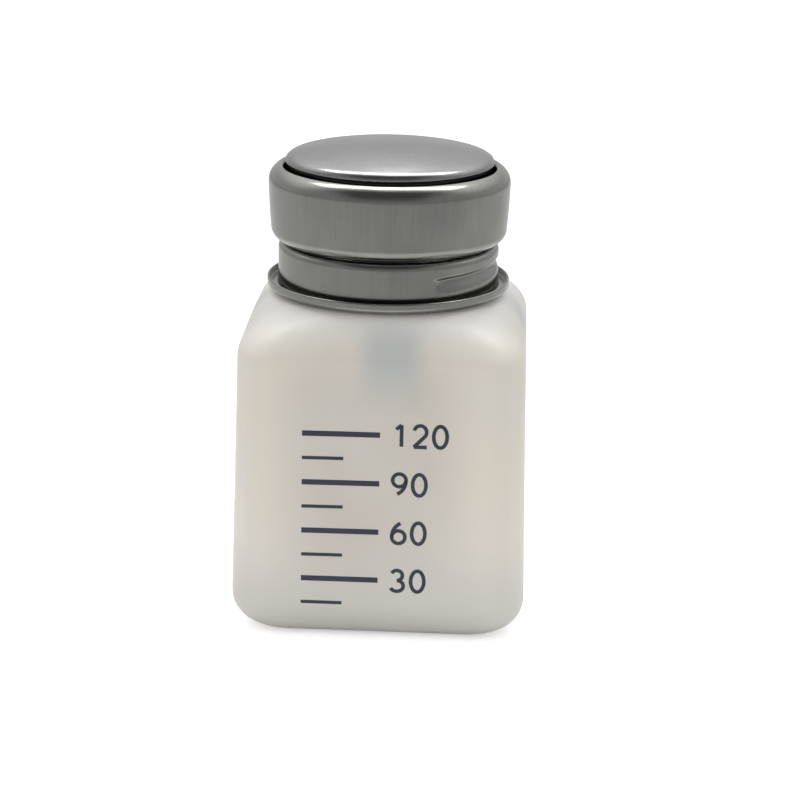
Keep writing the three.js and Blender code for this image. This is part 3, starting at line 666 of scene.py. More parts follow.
def press_dish_skin(low, high):
    """The dish: flat middle, a bowl that rises with the square of the way out, a rolled rim and a skirt."""
    half = sheet / 2
    middle = dish_flat_top - half
    skirt = high.x - half
    share = np.linspace(0, 1, bowl_points)[1:, None]
    bowl_end = skirt - 2 * dish_rim_bend
    rise = high.z - half - middle
    bowl_radius = dish_flat_radius + (bowl_end - dish_flat_radius) * share
    bowl = np.concatenate([bowl_radius, middle + rise * share ** 2], 1)
    rim_slope = 2 * rise / (bowl_end - dish_flat_radius)
    corner = (skirt, middle + rise + rim_slope * dish_rim_bend / 2, dish_rim_bend)
    rim = filleted([tuple(bowl[-1]), corner, (skirt, low.z + half)], closed=False)
    line = np.concatenate([[(dish_hole_radius, middle), (dish_flat_radius, middle)], bowl, rim[1:]])
    return revolved(sheet_outline(resampled(line), sheet))


def dish_nozzle_skin(low, high):
    """The brass nozzle: sleeve, flange with a bevelled edge and a countersunk outlet."""
    flange_bottom = high.z - nozzle_flange
    ceiling = high.z - nozzle_ceiling
    return turned([
        (nozzle_bore, low.z), (nozzle_sleeve, low.z), (nozzle_sleeve, flange_bottom),
        (high.x, flange_bottom), (high.x, high.z - nozzle_bevel), (high.x - nozzle_bevel, high.z),
        (nozzle_hole + nozzle_countersink, high.z), (nozzle_hole, high.z - nozzle_countersink),
        (nozzle_hole, ceiling, nozzle_round), (nozzle_bore, ceiling),
    ])


def knuckle_roll(thickness, start, turned_degrees):
    """The middle line of a sheet that rolls backwards around the hinge pin, from an angle above +Y."""
    end = start - turned_degrees * degree
    return arc((hinge_y, hinge_z), knuckle_radius - thickness / 2, start, end, roll_points)


def lid_skin(_, high):
    """The domed lid, a short skirt under it that closes the cup's mouth, and its tongue that runs back and
    rolls around the hinge pin.

    The middle of the lid's sheet lies at rim bottom + h sqrt(1 - (r/R)^26) + dome (1 - (r/R)^2.2): a shallow
    dome with a tight round edge.
    """
    half = lid_sheet / 2
    rim = lid_radius - half
    edge = np.sin(np.linspace(lid_edge_start_share, 1, lid_edge_points) * np.pi / 2) ** (2 / lid_edge_power)
    radius = rim * np.r_[np.linspace(0, edge[0], lid_middle_points, endpoint=False), edge]
    share = np.clip(radius / rim, 0, 1)
    bottom = lid_rim_bottom + half
    dome_height = high.z - half - bottom - lid_rim_height
    height = bottom + lid_rim_height * np.sqrt(1 - share ** lid_edge_power) + dome_height * (
        1 - share ** lid_dome_power)
    outline = sheet_outline(np.stack([radius, height], 1), lid_sheet, starts_on_axis=True)
    dome = revolved(outline, closed=False)
    # The skirt's steel is painted near black below the lid's rim, as painted shade in the slot under the lid
    skirt = washer(lid_skirt_radius - lid_skirt_wall, lid_skirt_radius,
                   lid_rim_bottom - gap - lid_skirt_drop, lid_rim_bottom + lid_skirt_rise, large_around)
    lean = tongue_lean_degrees * degree
    roll = knuckle_roll(tongue_sheet, np.pi / 2 - lean, tongue_roll_degrees)
    start_y = lid_radius - tongue_lap
    start = np.array([start_y, roll[0, 1] + math.tan(lean) * (roll[0, 0] - start_y)])
    straight = start + (roll[0] - start) * np.linspace(0, 1, straight_points, endpoint=False)[:, None]
    return [dome, skirt, strip_across(np.concatenate([straight, roll]), tongue_width, 0, tongue_sheet)]


def hinge_bracket_skin(low, high):
    """The curved plate behind the cup, and its two ears, each rolled around the pin."""
    middle_radius = cup_high.x + gap + bracket_sheet / 2
    plate_top = hinge_z - knuckle_radius - gap
    reach = math.asin(high.x / (middle_radius + bracket_sheet / 2))
    turn = np.linspace(-reach, reach, plate_points)[:, None]
    out = np.concatenate([np.sin(turn), np.cos(turn), 0 * turn], 1)
    level = np.array([0, 0, (low.z + plate_top) / 2])
    up = np.tile([0, 0, 1.0], (len(turn), 1))
    section = rounded_bar(bracket_sheet, plate_top - low.z, bracket_corner)
    plate = swept(out * middle_radius + level, out, up, section)
    roll = knuckle_roll(knuckle_sheet, np.pi, ear_roll_degrees)
    share = np.linspace(0, 1, straight_points, endpoint=False)[:, None]
    foot = np.array([middle_radius, plate_top - 2 * bracket_sheet])
    rise = foot + (roll[0] - foot) * np.concatenate([eased(share), share], 1)
    inner_x = tongue_width / 2 + gap
    width = hinge_width / 2 - inner_x
    ears = [strip_across(np.concatenate([rise, roll]), width, side * (inner_x + width / 2), knuckle_sheet)
            for side in (-1, 1)]
    return [plate, *ears]


def hinge_pin_skin(_, high):
    """The pin along X, with a low domed head at each end."""
    head = high.x
    end = head - pin_head_length
    points, normals, faces = turned([
        (0, -head), (pin_head_radius, -head, pin_head_dome), (pin_head_radius, -end), (pin_radius, -end),
        (pin_radius, end), (pin_head_radius, end), (pin_head_radius, head, pin_head_dome), (0, head),
    ], closed=False)
    onto_x = [2, 0, 1]
    return points[:, onto_x] + np.array([0, hinge_y, hinge_z]), normals[:, onto_x], faces


# Pump


def pump_housing_skin(low, high):
    """The moulded housing: flange, boss, barrel, ball chamber with its lip, valve seat and tube socket."""
    boss_bottom = high.z - boss_length
    barrel_bottom = boss_bottom - barrel_length
    socket_top = low.z + socket_depth
    lip_bottom = barrel_bottom - chamber_lip_height
    seat = valve_seat_radius
    return turned([
        (flange_radius, high.z - flange_thickness), (flange_radius, high.z, moulded_round),
        (guide_bore, high.z), (guide_bore, high.z - guide_depth), (barrel_bore, high.z - guide_depth),
        (barrel_bore, barrel_bottom), (chamber_lip_radius, barrel_bottom), (chamber_lip_radius, lip_bottom),
        (chamber_radius, lip_bottom), (chamber_radius, socket_top + chamber_radius),
        (seat, socket_top + seat), (seat, socket_top), (socket_bore, socket_top),
        (socket_bore, low.z), (socket_radius, low.z, moulded_round),
        (socket_radius, barrel_bottom - cone_height, cone_round), (barrel_radius, barrel_bottom, cone_round),
        (barrel_radius, boss_bottom, moulded_round), (boss_radius, boss_bottom, moulded_round),
        (boss_radius, high.z - flange_thickness, moulded_round),
    ])


def tube_skin(low, high, wall):
    """A plain turned tube."""
    return washer(high.x - wall, high.x, low.z, high.z)


def stem_o_ring_skin(low, high):
    """A ring of round section: radius R + s cos b at height s sin b."""
    section = (high.z - low.z) / 2 / math.sin(np.pi / 3)
    middle = (high.x - section, (low.z + high.z) / 2)
    return revolved(circle(middle, section, ring_section_points), small_around)


def return_spring_skin(low, high):
    """A wire along a helix: the pitch is small in the end curls and even between them.

    The height is the running sum of the pitch, scaled to the spring's length.
    """
    mean_radius = high.x - spring_wire
    turns = np.linspace(0, spring_curls, wire_points_a_curl * spring_curls)
    from_end = np.clip(np.minimum(turns, spring_curls - turns) - spring_end_curls, 0, 1)
    rise = high.z - low.z - 2 * spring_wire
    free = rise / (spring_curls - spring_closed_curls)
    pitch = spring_closed_pitch + (free - spring_closed_pitch) * eased(from_end)
    climb = np.cumsum(pitch)
    climb = (climb - climb[0]) / (climb[-1] - climb[0]) * rise
    angle = 2 * np.pi * turns
    out = np.stack([np.cos(angle), np.sin(angle), 0 * angle], 1)
    path = mean_radius * out
    path[:, 2] = low.z + spring_wire + climb
    up = unit(np.cross(unit(np.gradient(path, axis=0)), out))
    return swept(path, out, up, circle((0, 0), spring_wire, wire_section_points))


def piston_seal_skin(low, high):
    """The soft piston: a socket for the stem above, a waist, and a thin wiping lip below."""
    lip = high.x - piston_lip_width
    lip_top = low.z + piston_lip_depth
    socket_floor = high.z - piston_socket_depth
    waist = high.x - piston_waist_inset
    levels = [low.z + (high.z - low.z) * share for share in piston_waist_shares]
    fillet = piston_waist_inset / 2
    return turned([
        (stem_bore, lip_top), (lip - piston_lip_slope, lip_top), (lip, low.z), (high.x, low.z),
        (high.x, levels[0], fillet), (waist, levels[1], fillet), (waist, levels[2], fillet),
        (high.x, levels[3], fillet), (high.x, high.z, fillet), (stem_socket_radius, high.z),
        (stem_socket_radius, socket_floor), (stem_bore, socket_floor),
    ])


def piston_stem_skin(low, high):
    """The hollow steel stem, wider at the top where the outlet ball sits."""
    seat = high.z - stem_valve_depth
    return turned([
        (stem_bore, low.z), (high.x, low.z), (high.x, high.z), (stem_valve_bore, high.z),
        (stem_valve_bore, seat), (stem_bore, seat),
    ])


def lid_liner_skin(low, high):
    """The soft disc under the lid, with the post that closes the nozzle."""
    disc = high.z - liner_thickness
    return turned([
        (0, low.z), (liner_post_radius, low.z, liner_edge_round), (liner_post_radius, disc, liner_post_round),
        (high.x, disc, liner_edge_round), (high.x, high.z, liner_edge_round), (0, high.z),
    ], small_around * 2, closed=False)


# Finishes


def add(tree, kind, inputs=(), **settings):
    """Adds a node with its settings, and fills its inputs with links or values."""
    made = tree.nodes.new("ShaderNode" + kind)
    for name, value in settings.items():
        setattr(made, name, value)
    for socket, value in dict(inputs).items():
        if isinstance(value, bpy.types.NodeSocket):
            tree.links.new(value, made.inputs[socket])
        else:
            made.inputs[socket].default_value = value
    return made


def reckon(tree, operation, first, second=0.0, third=0.0):
    """The result of one sum on one, two or three values."""
    return add(tree, "Math", {0: first, 1: second, 2: third}, operation=operation).outputs[0]


def product(tree, first, *others):
    """Values multiplied with one another."""
    for other in others:
        first = reckon(tree, "MULTIPLY", first, other)
    return first


def distance(tree, value, middle=0.0):
    """How far a value lies from a middle, to either side."""
    return reckon(tree, "ABSOLUTE", reckon(tree, "SUBTRACT", value, middle))


def ramp(tree, value, start, end, low=0.0, high=1.0):
    """A value that goes smoothly from low to high as another goes from start to end."""
    limits = {"Value": value, "From Min": start, "From Max": end, "To Min": low, "To Max": high}
    return add(tree, "MapRange", limits, interpolation_type="SMOOTHSTEP").outputs["Result"]


def mixed(tree, share, first, second):
    """One colour turning into another by a share."""
    return add(tree, "Mix", {0: share, 6: first, 7: second}, data_type="RGBA").outputs[2]


def blended(tree, share, first, second):
    """One value turning into another by a share."""
    return add(tree, "Mix", {0: share, 2: first, 3: second}, data_type="FLOAT").outputs[0]


def darkened(colour, share):
    """A colour at a share of its brightness."""
    return (*(channel * share for channel in colour[:3]), 1)


def linear(red, green, blue):
    """A colour as it is seen, 0 to 255 a channel, as the shader's linear colour."""
    seen = np.array([red, green, blue]) / 255
    return (*np.where(seen <= 0.04045, seen / 12.92, ((seen + 0.055) / 1.055) ** 2.4).tolist(), 1)


def new_group(name, inputs, outputs):
    """An empty node group with named inputs and outputs, and its tree's two ends."""
    group = bpy.data.node_groups.new(name, "ShaderNodeTree")
    for way, sockets in (("INPUT", inputs), ("OUTPUT", outputs)):
        for socket, kind in sockets.items():
            group.interface.new_socket(socket, in_out=way, socket_type="NodeSocket" + kind)
    return group, group.nodes.new("NodeGroupInput"), group.nodes.new("NodeGroupOutput")


def cloud_group():
    """Soft patches: a noise of the given size, as a share between 0 and 1 with the given strength."""
    group, start, end = new_group(
        "soft patches", {"Place": "Vector", "Patches a metre": "Float", "Strength": "Float"},
        {"Share": "Float"})
    place, fineness = start.outputs["Place"], start.outputs["Patches a metre"]
    noise = add(group, "TexNoise", {"Vector": place, "Scale": fineness, "Detail": 3.0, "Roughness": 0.5})
    spread = ramp(group, noise.outputs["Fac"], *patch_limits)
    group.links.new(product(group, spread, start.outputs["Strength"]), end.inputs["Share"])
    return group


def line_group():
    """Fine lines: a noise drawn out along one axis by unequal scales, for turning and drawing marks."""
    group, start, end = new_group(
        "drawn lines", {"Place": "Vector", "Lines a metre": "Vector"}, {"Height": "Float"})
    drawn = {0: start.outputs["Place"], 1: start.outputs["Lines a metre"]}
    place = add(group, "VectorMath", drawn, operation="MULTIPLY").outputs[0]
    noise = add(group, "TexNoise", {"Vector": place, "Scale": 1.0, "Detail": 4.0, "Roughness": 0.6})
    group.links.new(noise.outputs["Fac"], end.inputs["Height"])
    return group


soft_patches = cloud_group()
drawn_lines = line_group()


def clouded(tree, place, patches_a_metre, strength):
    """Soft patches in a material."""
    inputs = {"Place": place, "Patches a metre": patches_a_metre, "Strength": strength}
    return add(tree, "Group", inputs, node_tree=soft_patches).outputs[0]


def marked(tree, place, lines_a_metre):
    """Fine lines in a material, with their number along each axis."""
    inputs = {"Place": place, "Lines a metre": lines_a_metre}
    return add(tree, "Group", inputs, node_tree=drawn_lines).outputs[0]


def new_material(name, **shader):
    """A material with a plain Principled shader; the given values go on its own sockets."""
    material = bpy.data.materials.new(name)
    material.use_nodes = True
    tree = material.node_tree
    principled = tree.nodes["Principled BSDF"]
    for socket, value in shader.items():
        principled.inputs[socket.replace("_", " ").title().replace("Ior", "IOR")].default_value = value
    place = tree.nodes.new("ShaderNodeTexCoord").outputs["Object"]
    return material, tree, principled, place


def finish(tree, principled, colour, roughness, relief, depth, strength):
    """Feeds a colour, a roughness and the normal of a relief to the shader."""
    bump = add(tree, "Bump", {"Height": relief, "Distance": depth, "Strength": strength})
    tree.links.new(colour, principled.inputs["Base Color"])
    tree.links.new(roughness, principled.inputs["Roughness"])
    tree.links.new(bump.outputs["Normal"], principled.inputs["Normal"])


def milky_plastic():
    """Blow-moulded polyethylene: warm where the faces are thin, greyer near the base, paler at the corners and
    the shoulder, and painted shade of the pump inside: the faces greyer over their middle, and the pump's
    barrel as a faint cool painted shadow."""
    corner_tint = linear(217, 216, 212)
    face_tint = linear(214, 207, 195)
    middle_shade_tint = linear(191, 184, 175)
    low_tint = linear(196, 193, 187)
    barrel_shadow_tint = linear(171, 177, 176)
    cloud_tint = linear(210, 208, 203)
    scratch_tint = linear(176, 172, 166)
    middle_shade_share = 0.9
    middle_shade_top_share = 0.1
    low_share = 0.9
    barrel_shadow_share = 0.8
    scratch_limits = (0.66, 0.74)
    scratch_share = 0.16
    smoothest = 0.31
    material, tree, principled, place = new_material("milky plastic", specular_ior_level=0.45)
    x, y, z = add(tree, "SeparateXYZ", {0: place}).outputs
    across_y = distance(tree, y)

    def nearer(middle):
        """The smaller of the distances from a middle along X and from the axis along Y."""
        return reckon(tree, "MINIMUM", distance(tree, x, middle), across_y)

    warm = product(tree, ramp(tree, nearer(0.0), *pale_corner_across), ramp(tree, z, *pale_shoulder_up))
    colour = mixed(tree, warm, corner_tint, face_tint)
    # Painted shade: the faces turn greyer over their middle, as shade of the pump inside the bottle
    middle = product(tree, ramp(tree, nearer(shade_middle), *shade_across, 0.0, middle_shade_share),
                     ramp(tree, z, *shade_up, middle_shade_top_share, 1.0))
    colour = mixed(tree, middle, colour, middle_shade_tint)
    colour = mixed(tree, ramp(tree, z, *low_shade_up, 0.0, low_share), colour, low_tint)
    # Painted shadow: the pump's barrel as a faint cool band up the faces
    barrel = product(tree, ramp(tree, nearer(barrel_shade_middle), *barrel_shade_across),
                     ramp(tree, z, *barrel_shade_start_up),
                     ramp(tree, z, *barrel_shade_end_up, 0.0, barrel_shadow_share))
    colour = mixed(tree, barrel, colour, barrel_shadow_tint)
    colour = mixed(tree, clouded(tree, place, patches_a_metre=45.0, strength=0.3), colour, cloud_tint)
    scratches = marked(tree, place, lines_a_metre=(90.0, 90.0, 1500.0))
    colour = mixed(tree, ramp(tree, scratches, *scratch_limits, 0.0, scratch_share), colour, scratch_tint)
    uneven = reckon(tree, "ADD", clouded(tree, place, patches_a_metre=220.0, strength=0.1), smoothest)
    grain = add(tree, "TexNoise", {"Vector": place, "Scale": 650.0, "Detail": 3.0}).outputs["Fac"]
    finish(tree, principled, colour, uneven, grain, bottle_grain_depth, strength=0.35)
    return material


def under_lid(tree, place):
    """A share that is full on the skirt under the lid and nothing elsewhere: where the steel is painted with
    shade.
    """
    x, y, z = add(tree, "SeparateXYZ", {0: place}).outputs
    squares = [reckon(tree, "POWER", value, 2.0) for value in (x, y)]
    from_axis = reckon(tree, "SQRT", reckon(tree, "ADD", *squares))
    bottom = lid_rim_bottom - gap - lid_skirt_drop
    return product(tree, ramp(tree, z, lid_rim_bottom + edge_round, lid_rim_bottom),
                   ramp(tree, z, bottom, bottom + gap),
                   ramp(tree, from_axis, lid_radius - lid_skirt_wall, lid_skirt_radius))


def satin_steel(name, base, roughness):
    """Drawn stainless steel: fine marks up the walls and around the flats, soft patches of handling, and
    painted shade, near black, on the skirt under the lid, for the shadow in the slot between lid and cup."""
    painted_shade = (0.02, 0.02, 0.02, 1)
    mark_weight = 1.1
    clean_share = 0.35
    mark_roughness = 0.07
    cloud_roughness = 0.05
    material, tree, principled, place = new_material(name, metallic=1.0)
    cloud = clouded(tree, place, patches_a_metre=130.0, strength=0.3)
    marks = marked(tree, place, lines_a_metre=(2300.0, 2300.0, 40.0))
    worn = reckon(tree, "MULTIPLY_ADD", marks, mark_weight, reckon(tree, "SUBTRACT", cloud, clean_share))
    colour = mixed(tree, worn, base, darkened(base, share=0.75))
    # Painted shade: the skirt under the lid goes near black, for the shadow in the slot between lid and cup
    colour = mixed(tree, under_lid(tree, place), colour, painted_shade)
    uneven = reckon(tree, "MULTIPLY_ADD", marks, mark_roughness, roughness - mark_roughness / 2)
    uneven = reckon(tree, "MULTIPLY_ADD", cloud, cloud_roughness, uneven)
    finish(tree, principled, colour, uneven, marks, steel_mark_depth, strength=0.25)
    return material


def turned_metal(name, base, roughness):
    """Bright turned metal with fine rings around its axis."""
    material, tree, principled, place = new_material(name, metallic=1.0)
    ring_roughness = 0.15
    cloud = clouded(tree, place, patches_a_metre=300.0, strength=0.4)
    colour = mixed(tree, cloud, base, darkened(base, share=0.8))
    rings = marked(tree, place, lines_a_metre=(60.0, 60.0, 4000.0))
    uneven = reckon(tree, "MULTIPLY_ADD", rings, ring_roughness, roughness)
    finish(tree, principled, colour, uneven, rings, turning_ring_depth, strength=0.2)
    return material


def moulded(name, base, roughness, grains_a_metre, grain_depth):
    """Moulded plastic or rubber with a fine grain and slightly uneven gloss."""
    material, tree, principled, place = new_material(name)
    cloud_roughness = 0.12
    cloud = clouded(tree, place, patches_a_metre=200.0, strength=0.5)
    colour = mixed(tree, cloud, base, darkened(base, share=0.88))
    uneven = reckon(tree, "MULTIPLY_ADD", cloud, cloud_roughness, roughness)
    grain = add(tree, "TexNoise", {"Vector": place, "Scale": grains_a_metre, "Detail": 2.0}).outputs["Fac"]
    finish(tree, principled, colour, uneven, grain, grain_depth, strength=0.3)
    return material


# A finish for each slot: name, colour and roughness, and for moulded ones the grains a metre and their depth
finishes = {
    "bottle_plastic": milky_plastic(),
    "satin_steel": satin_steel("satin steel", (0.3, 0.299, 0.276, 1), 0.18),
    "lid_steel": satin_steel("lid steel", (0.31, 0.316, 0.312, 1), 0.2),
    "bright_steel": turned_metal("bright steel", (0.55, 0.55, 0.54, 1), 0.2),
    "brass": turned_metal("machined brass", (0.62, 0.42, 0.16, 1), 0.24),
    "white_plastic": moulded("white plastic", linear(236, 236, 232), 0.35, 900.0, plastic_grain_depth),
    "pale_rubber": moulded("pale rubber", linear(205, 203, 197), 0.6, 1500.0, rubber_grain_depth),
    "black_rubber": moulded("black rubber", linear(34, 34, 36), 0.55, 1500.0, rubber_grain_depth),
}
ink = moulded("navy ink", linear(38, 47, 62), 0.42, 1200.0, ink_grain_depth)


# Pieces

body_of = {node: body for body, nodes in record["behaviour"]["bodies"].items() for node in nodes}
slot_of = {entry["node"]: entry["material_slot"] for entry in record["subparts"]}


def put(name, data):
    """A new object in the scene."""
    made = bpy.data.objects.new(name, data)
    bpy.context.scene.collection.objects.link(made)
    return made


def make_piece(name, skins, material):
    """One mesh object from skins, at the origin, with their normals."""
    skins = skins if isinstance(skins, list) else [skins]
    counts = np.cumsum([0] + [len(points) for points, _, _ in skins])
    blocks = [block + start for start, (_, _, faces) in zip(counts, skins) for block in faces]
    faces = [row for block in blocks for row in block.tolist()]
    mesh = bpy.data.meshes.new(name)
    mesh.from_pydata(np.concatenate([points for points, _, _ in skins]).tolist(), [], faces)
    mesh.polygons.foreach_set("use_smooth", np.ones(len(faces), bool))
    mesh.normals_split_custom_set_from_vertices(np.concatenate([normals for _, normals, _ in skins]).tolist())
    mesh.materials.append(material)
    return put(name, mesh)


def dress(node, make, *sizes):
    """Shows a fine piece in place of a node of the frame, made to fit the node's box."""
    piece = make_piece(node + "_surface", make(*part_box(node), *sizes), finishes[slot_of[node]])
    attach(piece, body_of[node])
    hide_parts(node)
    return piece


dress("bottle", bottle_skin)
dress("neck_gasket", tube_skin, gasket_width)
dress("neck_shell", neck_shell_skin)
dress("upper_cup", upper_cup_skin)
dress("pump_housing", pump_housing_skin)
dress("deck_seal", tube_skin, deck_seal_width)
dress("clamp_washer", tube_skin, clamp_washer_width)
dress("clamp_nut", nut_skin, clamp_nut_bore)
dress("dish_nut", nut_skin, dish_nut_bore)
dress("stem_guide", tube_skin, guide_wall)
dress("stem_o_ring", stem_o_ring_skin)
dress("dip_tube", tube_skin, tube_wall)
dress("inlet_ball", ball_skin, inlet_ball_radius)
dress("outlet_ball", ball_skin, outlet_ball_radius)
dress("piston_seal", piston_seal_skin)
dress("piston_stem", piston_stem_skin)
dress("press_dish", press_dish_skin)
dress("dish_nozzle", dish_nozzle_skin)
dress("lid", lid_skin)
dress("lid_liner", lid_liner_skin)
dress("hinge_bracket", hinge_bracket_skin)
dress("hinge_pin", hinge_pin_skin)

spring = dress("return_spring", return_spring_skin)
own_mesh(spring)


# Printed scale


def onto_front(flat):
    """Lays flat points (x, height, how far out) on the front wall, with its lean and its sink."""
    x, height, proud = flat[..., 0], flat[..., 1], flat[..., 2]
    share = np.clip((height - bottle_base_round) / (bottle_wall_top - bottle_base_round), 0, 1)
    half = bottle_base_width / 2 + (bottle_top_width - bottle_base_width) / 2 * share
    return np.stack([x, face_sink(x / half, share) - half - proud, height], -1)


def stroke(line, thick, loop=False):
    """A printed stroke: a flat bar carried along a line of (x, height) points, a little proud of the wall."""
    line = resampled(line)
    if loop:
        line = line[:-1]
        along = np.roll(line, -1, axis=0) - np.roll(line, 1, axis=0)
    else:
        along = np.gradient(line, axis=0)
    along = unit(along)
    side = np.stack([along[:, 1], -along[:, 0]], 1)
    section = rounded_bar(thick, print_proud + print_sunk)
    proud = section[:, 1] + (print_proud - print_sunk) / 2
    across = line[:, None] + side[:, None] * section[None, :, :1]
    grid = raised(across, proud)
    if not loop:
        ends = [np.broadcast_to(grid[i].mean(0), (1, len(section), 3)) for i in (0, -1)]
        grid = np.concatenate([ends[0], grid, ends[1]])
    return skin(onto_front(grid), closed=loop)


def bow(middle, radii, start, end):
    """A digit's bow, between two angles in degrees."""
    return arc(middle, radii, start * degree, end * degree, bow_points)


def digit_lines(digit):
    """The lines of a plain digit, in shares of its height."""
    six = [bow((0.3, 0.3), (0.3, 0.3), 0, 360), bow((0.62, 0.3), (0.62, 0.7), 180, 112)]
    return {
        "0": [bow((0.3, 0.5), (0.3, 0.5), 0, 360)],
        "1": [np.array([(0.12, 0.8), (0.36, 1.0)]), np.array([(0.36, 1.0), (0.36, 0.0)])],
        "2": [np.concatenate([bow((0.3, 0.7), (0.28, 0.3), 165, -38), [(0.02, 0.0)]]),
              np.array([(0.02, 0.0), (0.6, 0.0)])],
        "3": [bow((0.27, 0.76), (0.25, 0.24), 155, -90), bow((0.27, 0.26), (0.3, 0.26), 90, -155)],
        "6": six,
        "9": [np.array([0.6, 1.0]) - line for line in six],
    }[digit]


def printed_number(number, left, middle):
    """The skins of a plain number that starts at x = left, centred on a height."""
    skins = []
    for place, digit in enumerate(str(number)):
        corner = np.array([left + place * digit_step_share * digit_height, middle - digit_height / 2])
        for line in digit_lines(digit):
            loop = np.allclose(line[0], line[-1])
            skins.append(stroke(corner + line * digit_height, digit_thick, loop))
    return skins


def level_of(volume):
    """Height of a volume in the bottle: the floor, the rise over the inside's square and its rounded base."""
    inside = bottle_base_width - 2 * bottle_wall
    corner_loss = (4 - np.pi) * (bottle_corner - bottle_wall) ** 2
    edge_loss = (4 - np.pi) * (bottle_base_round - bottle_wall) ** 2 * inside
    rise = (volume * millilitre + edge_loss) / (inside ** 2 - corner_loss)
    return bottle_foot_rise + bottle_wall + rise


most_digits = len(str(max(scale_volumes)))
scale_width = scale_long_tick + digit_gap + most_digits * digit_step_share * digit_height
scale_left = -scale_width / 2
tick_skins = []
for volume in scale_volumes:
    level = level_of(volume)
    between = level_of(volume - scale_volumes[0] / 2)
    for length, height, thick in ((scale_long_tick, level, scale_long_thick),
                                  (scale_short_tick, between, scale_short_thick)):
        tick_skins.append(stroke(np.array([(scale_left, height), (scale_left + length, height)]), thick))
    digits = printed_number(volume, scale_left + scale_long_tick + digit_gap, level)
    printed = make_piece(f"scale_number_{volume}", digits, ink)
    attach(printed, "bottle_body")
ticks = make_piece("scale_ticks", tick_skins, ink)
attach(ticks, "bottle_body")


# Studio

floor_reach = 3.0
# Floor whites: paler near the object for more bounced light, darker in front for what the steel mirrors, as
# painted light and shade
near_white = 0.92
far_white = 0.6
front_left_white = 0.54
front_right_white = 0.46
near_glow = 0.45
far_glow = 0.62
sky_fill = 0.615
floor_near_to_far = (0.1, 0.2)
floor_back_to_front = (0.0, -0.2)
floor_left_to_right = (-0.3, 0.3)

# What metal mirrors: brightness between two parts of the way up, to the side or to the back
tent_up = (0.2, 0.75)
tent_glow = (0.62, 1.41)
strip_middle = -0.02
strip_side = (0.13, 0.02)
strip_up = (0.45, 0.8)
strip_glow = 0.95
room_up = (-0.1, 0.7)
room_glow = (0.44, 0.12)
room_side = (0.4, 0.8)
room_side_glow = 0.46
front_to_back = (-0.3, 0.3)

# Soft boxes: place, width and depth, power, and whether metal mirrors them
lamp_aim = (0, 0, 0.05)
lamps = {
    "top soft box": ((0, 0.25, 0.93), (1.2, 0.32), 6, True),
    "left soft box": ((-0.68, -0.58, 0.5), (0.6, 0.6), 2.15, False),
    "right soft box": ((0.68, -0.54, 0.5), (0.6, 0.6), 1.65, False),
}


def stage_floor():
    """A plain white floor, palest around the object and a little darker to the right in front of it: painted
    light and shade, the pale middle throwing more light back onto the object's base and the darker front
    giving the steel a darker room to mirror. Its own glow, seen by the camera alone, lifts it to the white of
    the background."""
    mesh = bpy.data.meshes.new("floor")
    mesh.from_pydata([(-floor_reach, -floor_reach, 0), (floor_reach, -floor_reach, 0),
                      (floor_reach, floor_reach, 0), (-floor_reach, floor_reach, 0)], [], [(0, 1, 2, 3)])
    material, tree, principled, place = new_material("floor", roughness=0.9, emission_color=(1, 1, 1, 1))
    length = add(tree, "VectorMath", {0: place}, operation="LENGTH").outputs["Value"]
    away = ramp(tree, length, *floor_near_to_far)
    x, y, _ = add(tree, "SeparateXYZ", {0: place}).outputs
    near, far, front_left, front_right = ((white, white, white, 1) for white in (
        near_white, far_white, front_left_white, front_right_white))
    front = mixed(tree, ramp(tree, x, *floor_left_to_right), front_left, front_right)
    far = mixed(tree, ramp(tree, y, *floor_back_to_front), far, front)
    tree.links.new(mixed(tree, away, near, far), principled.inputs["Base Color"])
    seen = tree.nodes.new("ShaderNodeLightPath").outputs["Is Camera Ray"]
    glow = reckon(tree, "MULTIPLY_ADD", away, far_glow - near_glow, near_glow)
    tree.links.new(reckon(tree, "MULTIPLY", seen, glow), principled.inputs["Emission Strength"])
    mesh.materials.append(material)
    floor = put("floor", mesh)


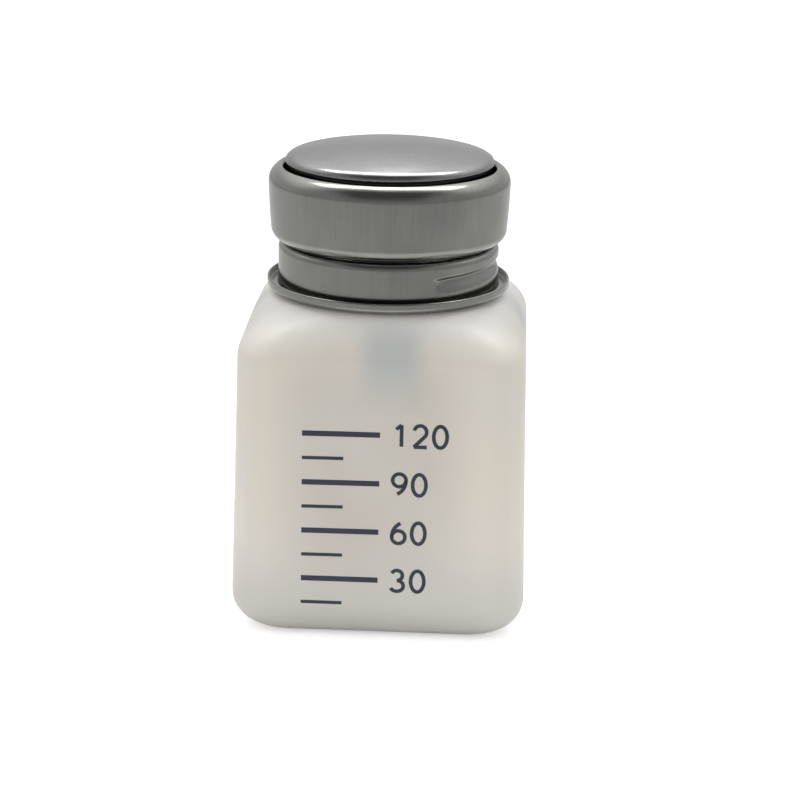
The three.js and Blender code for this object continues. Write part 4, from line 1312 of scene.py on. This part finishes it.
def stage_world():
    """White for the camera and a soft even fill for diffuse light. Metal sees a pale tent with a bright strip
    behind the object, and a room in front of it that darkens upwards around the middle."""
    world = bpy.data.worlds.new("studio")
    bpy.context.scene.world = world
    world.use_nodes = True
    tree = world.node_tree
    background = tree.nodes["Background"]
    way = tree.nodes.new("ShaderNodeTexCoord").outputs["Generated"]
    x, y, z = add(tree, "SeparateXYZ", {0: way}).outputs
    strip = product(tree, ramp(tree, distance(tree, x, strip_middle), *strip_side),
                    ramp(tree, z, *strip_up, 0.0, strip_glow))
    tent = reckon(tree, "ADD", ramp(tree, z, *tent_up, *tent_glow), strip)
    beside = ramp(tree, distance(tree, x), *room_side)
    room = blended(tree, beside, ramp(tree, z, *room_up, *room_glow), room_side_glow)
    mirrored = blended(tree, ramp(tree, y, *front_to_back), room, tent)
    path = tree.nodes.new("ShaderNodeLightPath").outputs
    shiny = reckon(tree, "MAXIMUM", path["Is Glossy Ray"], path["Is Transmission Ray"])
    strength = blended(tree, path["Is Camera Ray"], blended(tree, shiny, sky_fill, mirrored), 1.0)
    tree.links.new(strength, background.inputs["Strength"])
    background.inputs["Color"].default_value = (1, 1, 1, 1)


def stage_lamp(name, place, size, power, mirrored):
    """A soft box that faces the middle of the object."""
    light = bpy.data.lights.new(name, "AREA")
    light.shape = "RECTANGLE"
    light.size, light.size_y = size
    light.energy = power
    lamp = put(name, light)
    lamp.location = place
    lamp.visible_glossy = mirrored
    way = Vector(lamp_aim) - Vector(place)
    lamp.rotation_euler = way.to_track_quat("-Z", "Y").to_euler()


def stage_camera():
    """The photograph's view: aimed at the middle of the object from a little right of the front and above."""
    azimuth = 3.0 * degree
    elevation = 16.3 * degree
    roll = 0.94 * degree
    reach = 0.48
    target = Vector((0, 0, 0.047))
    target_seen_at = (386.6, 372.8)
    picture = 800
    pixels_of_focal_length = 2366
    back = Vector((math.sin(azimuth) * math.cos(elevation), -math.cos(azimuth) * math.cos(elevation),
                   math.sin(elevation)))
    level_right = Vector((math.cos(azimuth), math.sin(azimuth), 0))
    level_up = back.cross(level_right)
    right = level_right * math.cos(roll) + level_up * math.sin(roll)
    up = level_up * math.cos(roll) - level_right * math.sin(roll)
    camera = bpy.data.cameras.new("camera")
    camera.sensor_width = 36
    camera.lens = camera.sensor_width * pixels_of_focal_length / picture
    camera.shift_x = (picture / 2 - target_seen_at[0]) / picture
    camera.shift_y = (target_seen_at[1] - picture / 2) / picture
    holder = put("camera", camera)
    facing = Matrix((right, up, back)).transposed().to_4x4()
    holder.matrix_world = Matrix.Translation(target + reach * back) @ facing
    bpy.context.scene.camera = holder


stage_floor()
stage_world()
for lamp_name, settings in lamps.items():
    stage_lamp(lamp_name, *settings)
stage_camera()
bpy.context.scene.view_settings.view_transform = "Standard"
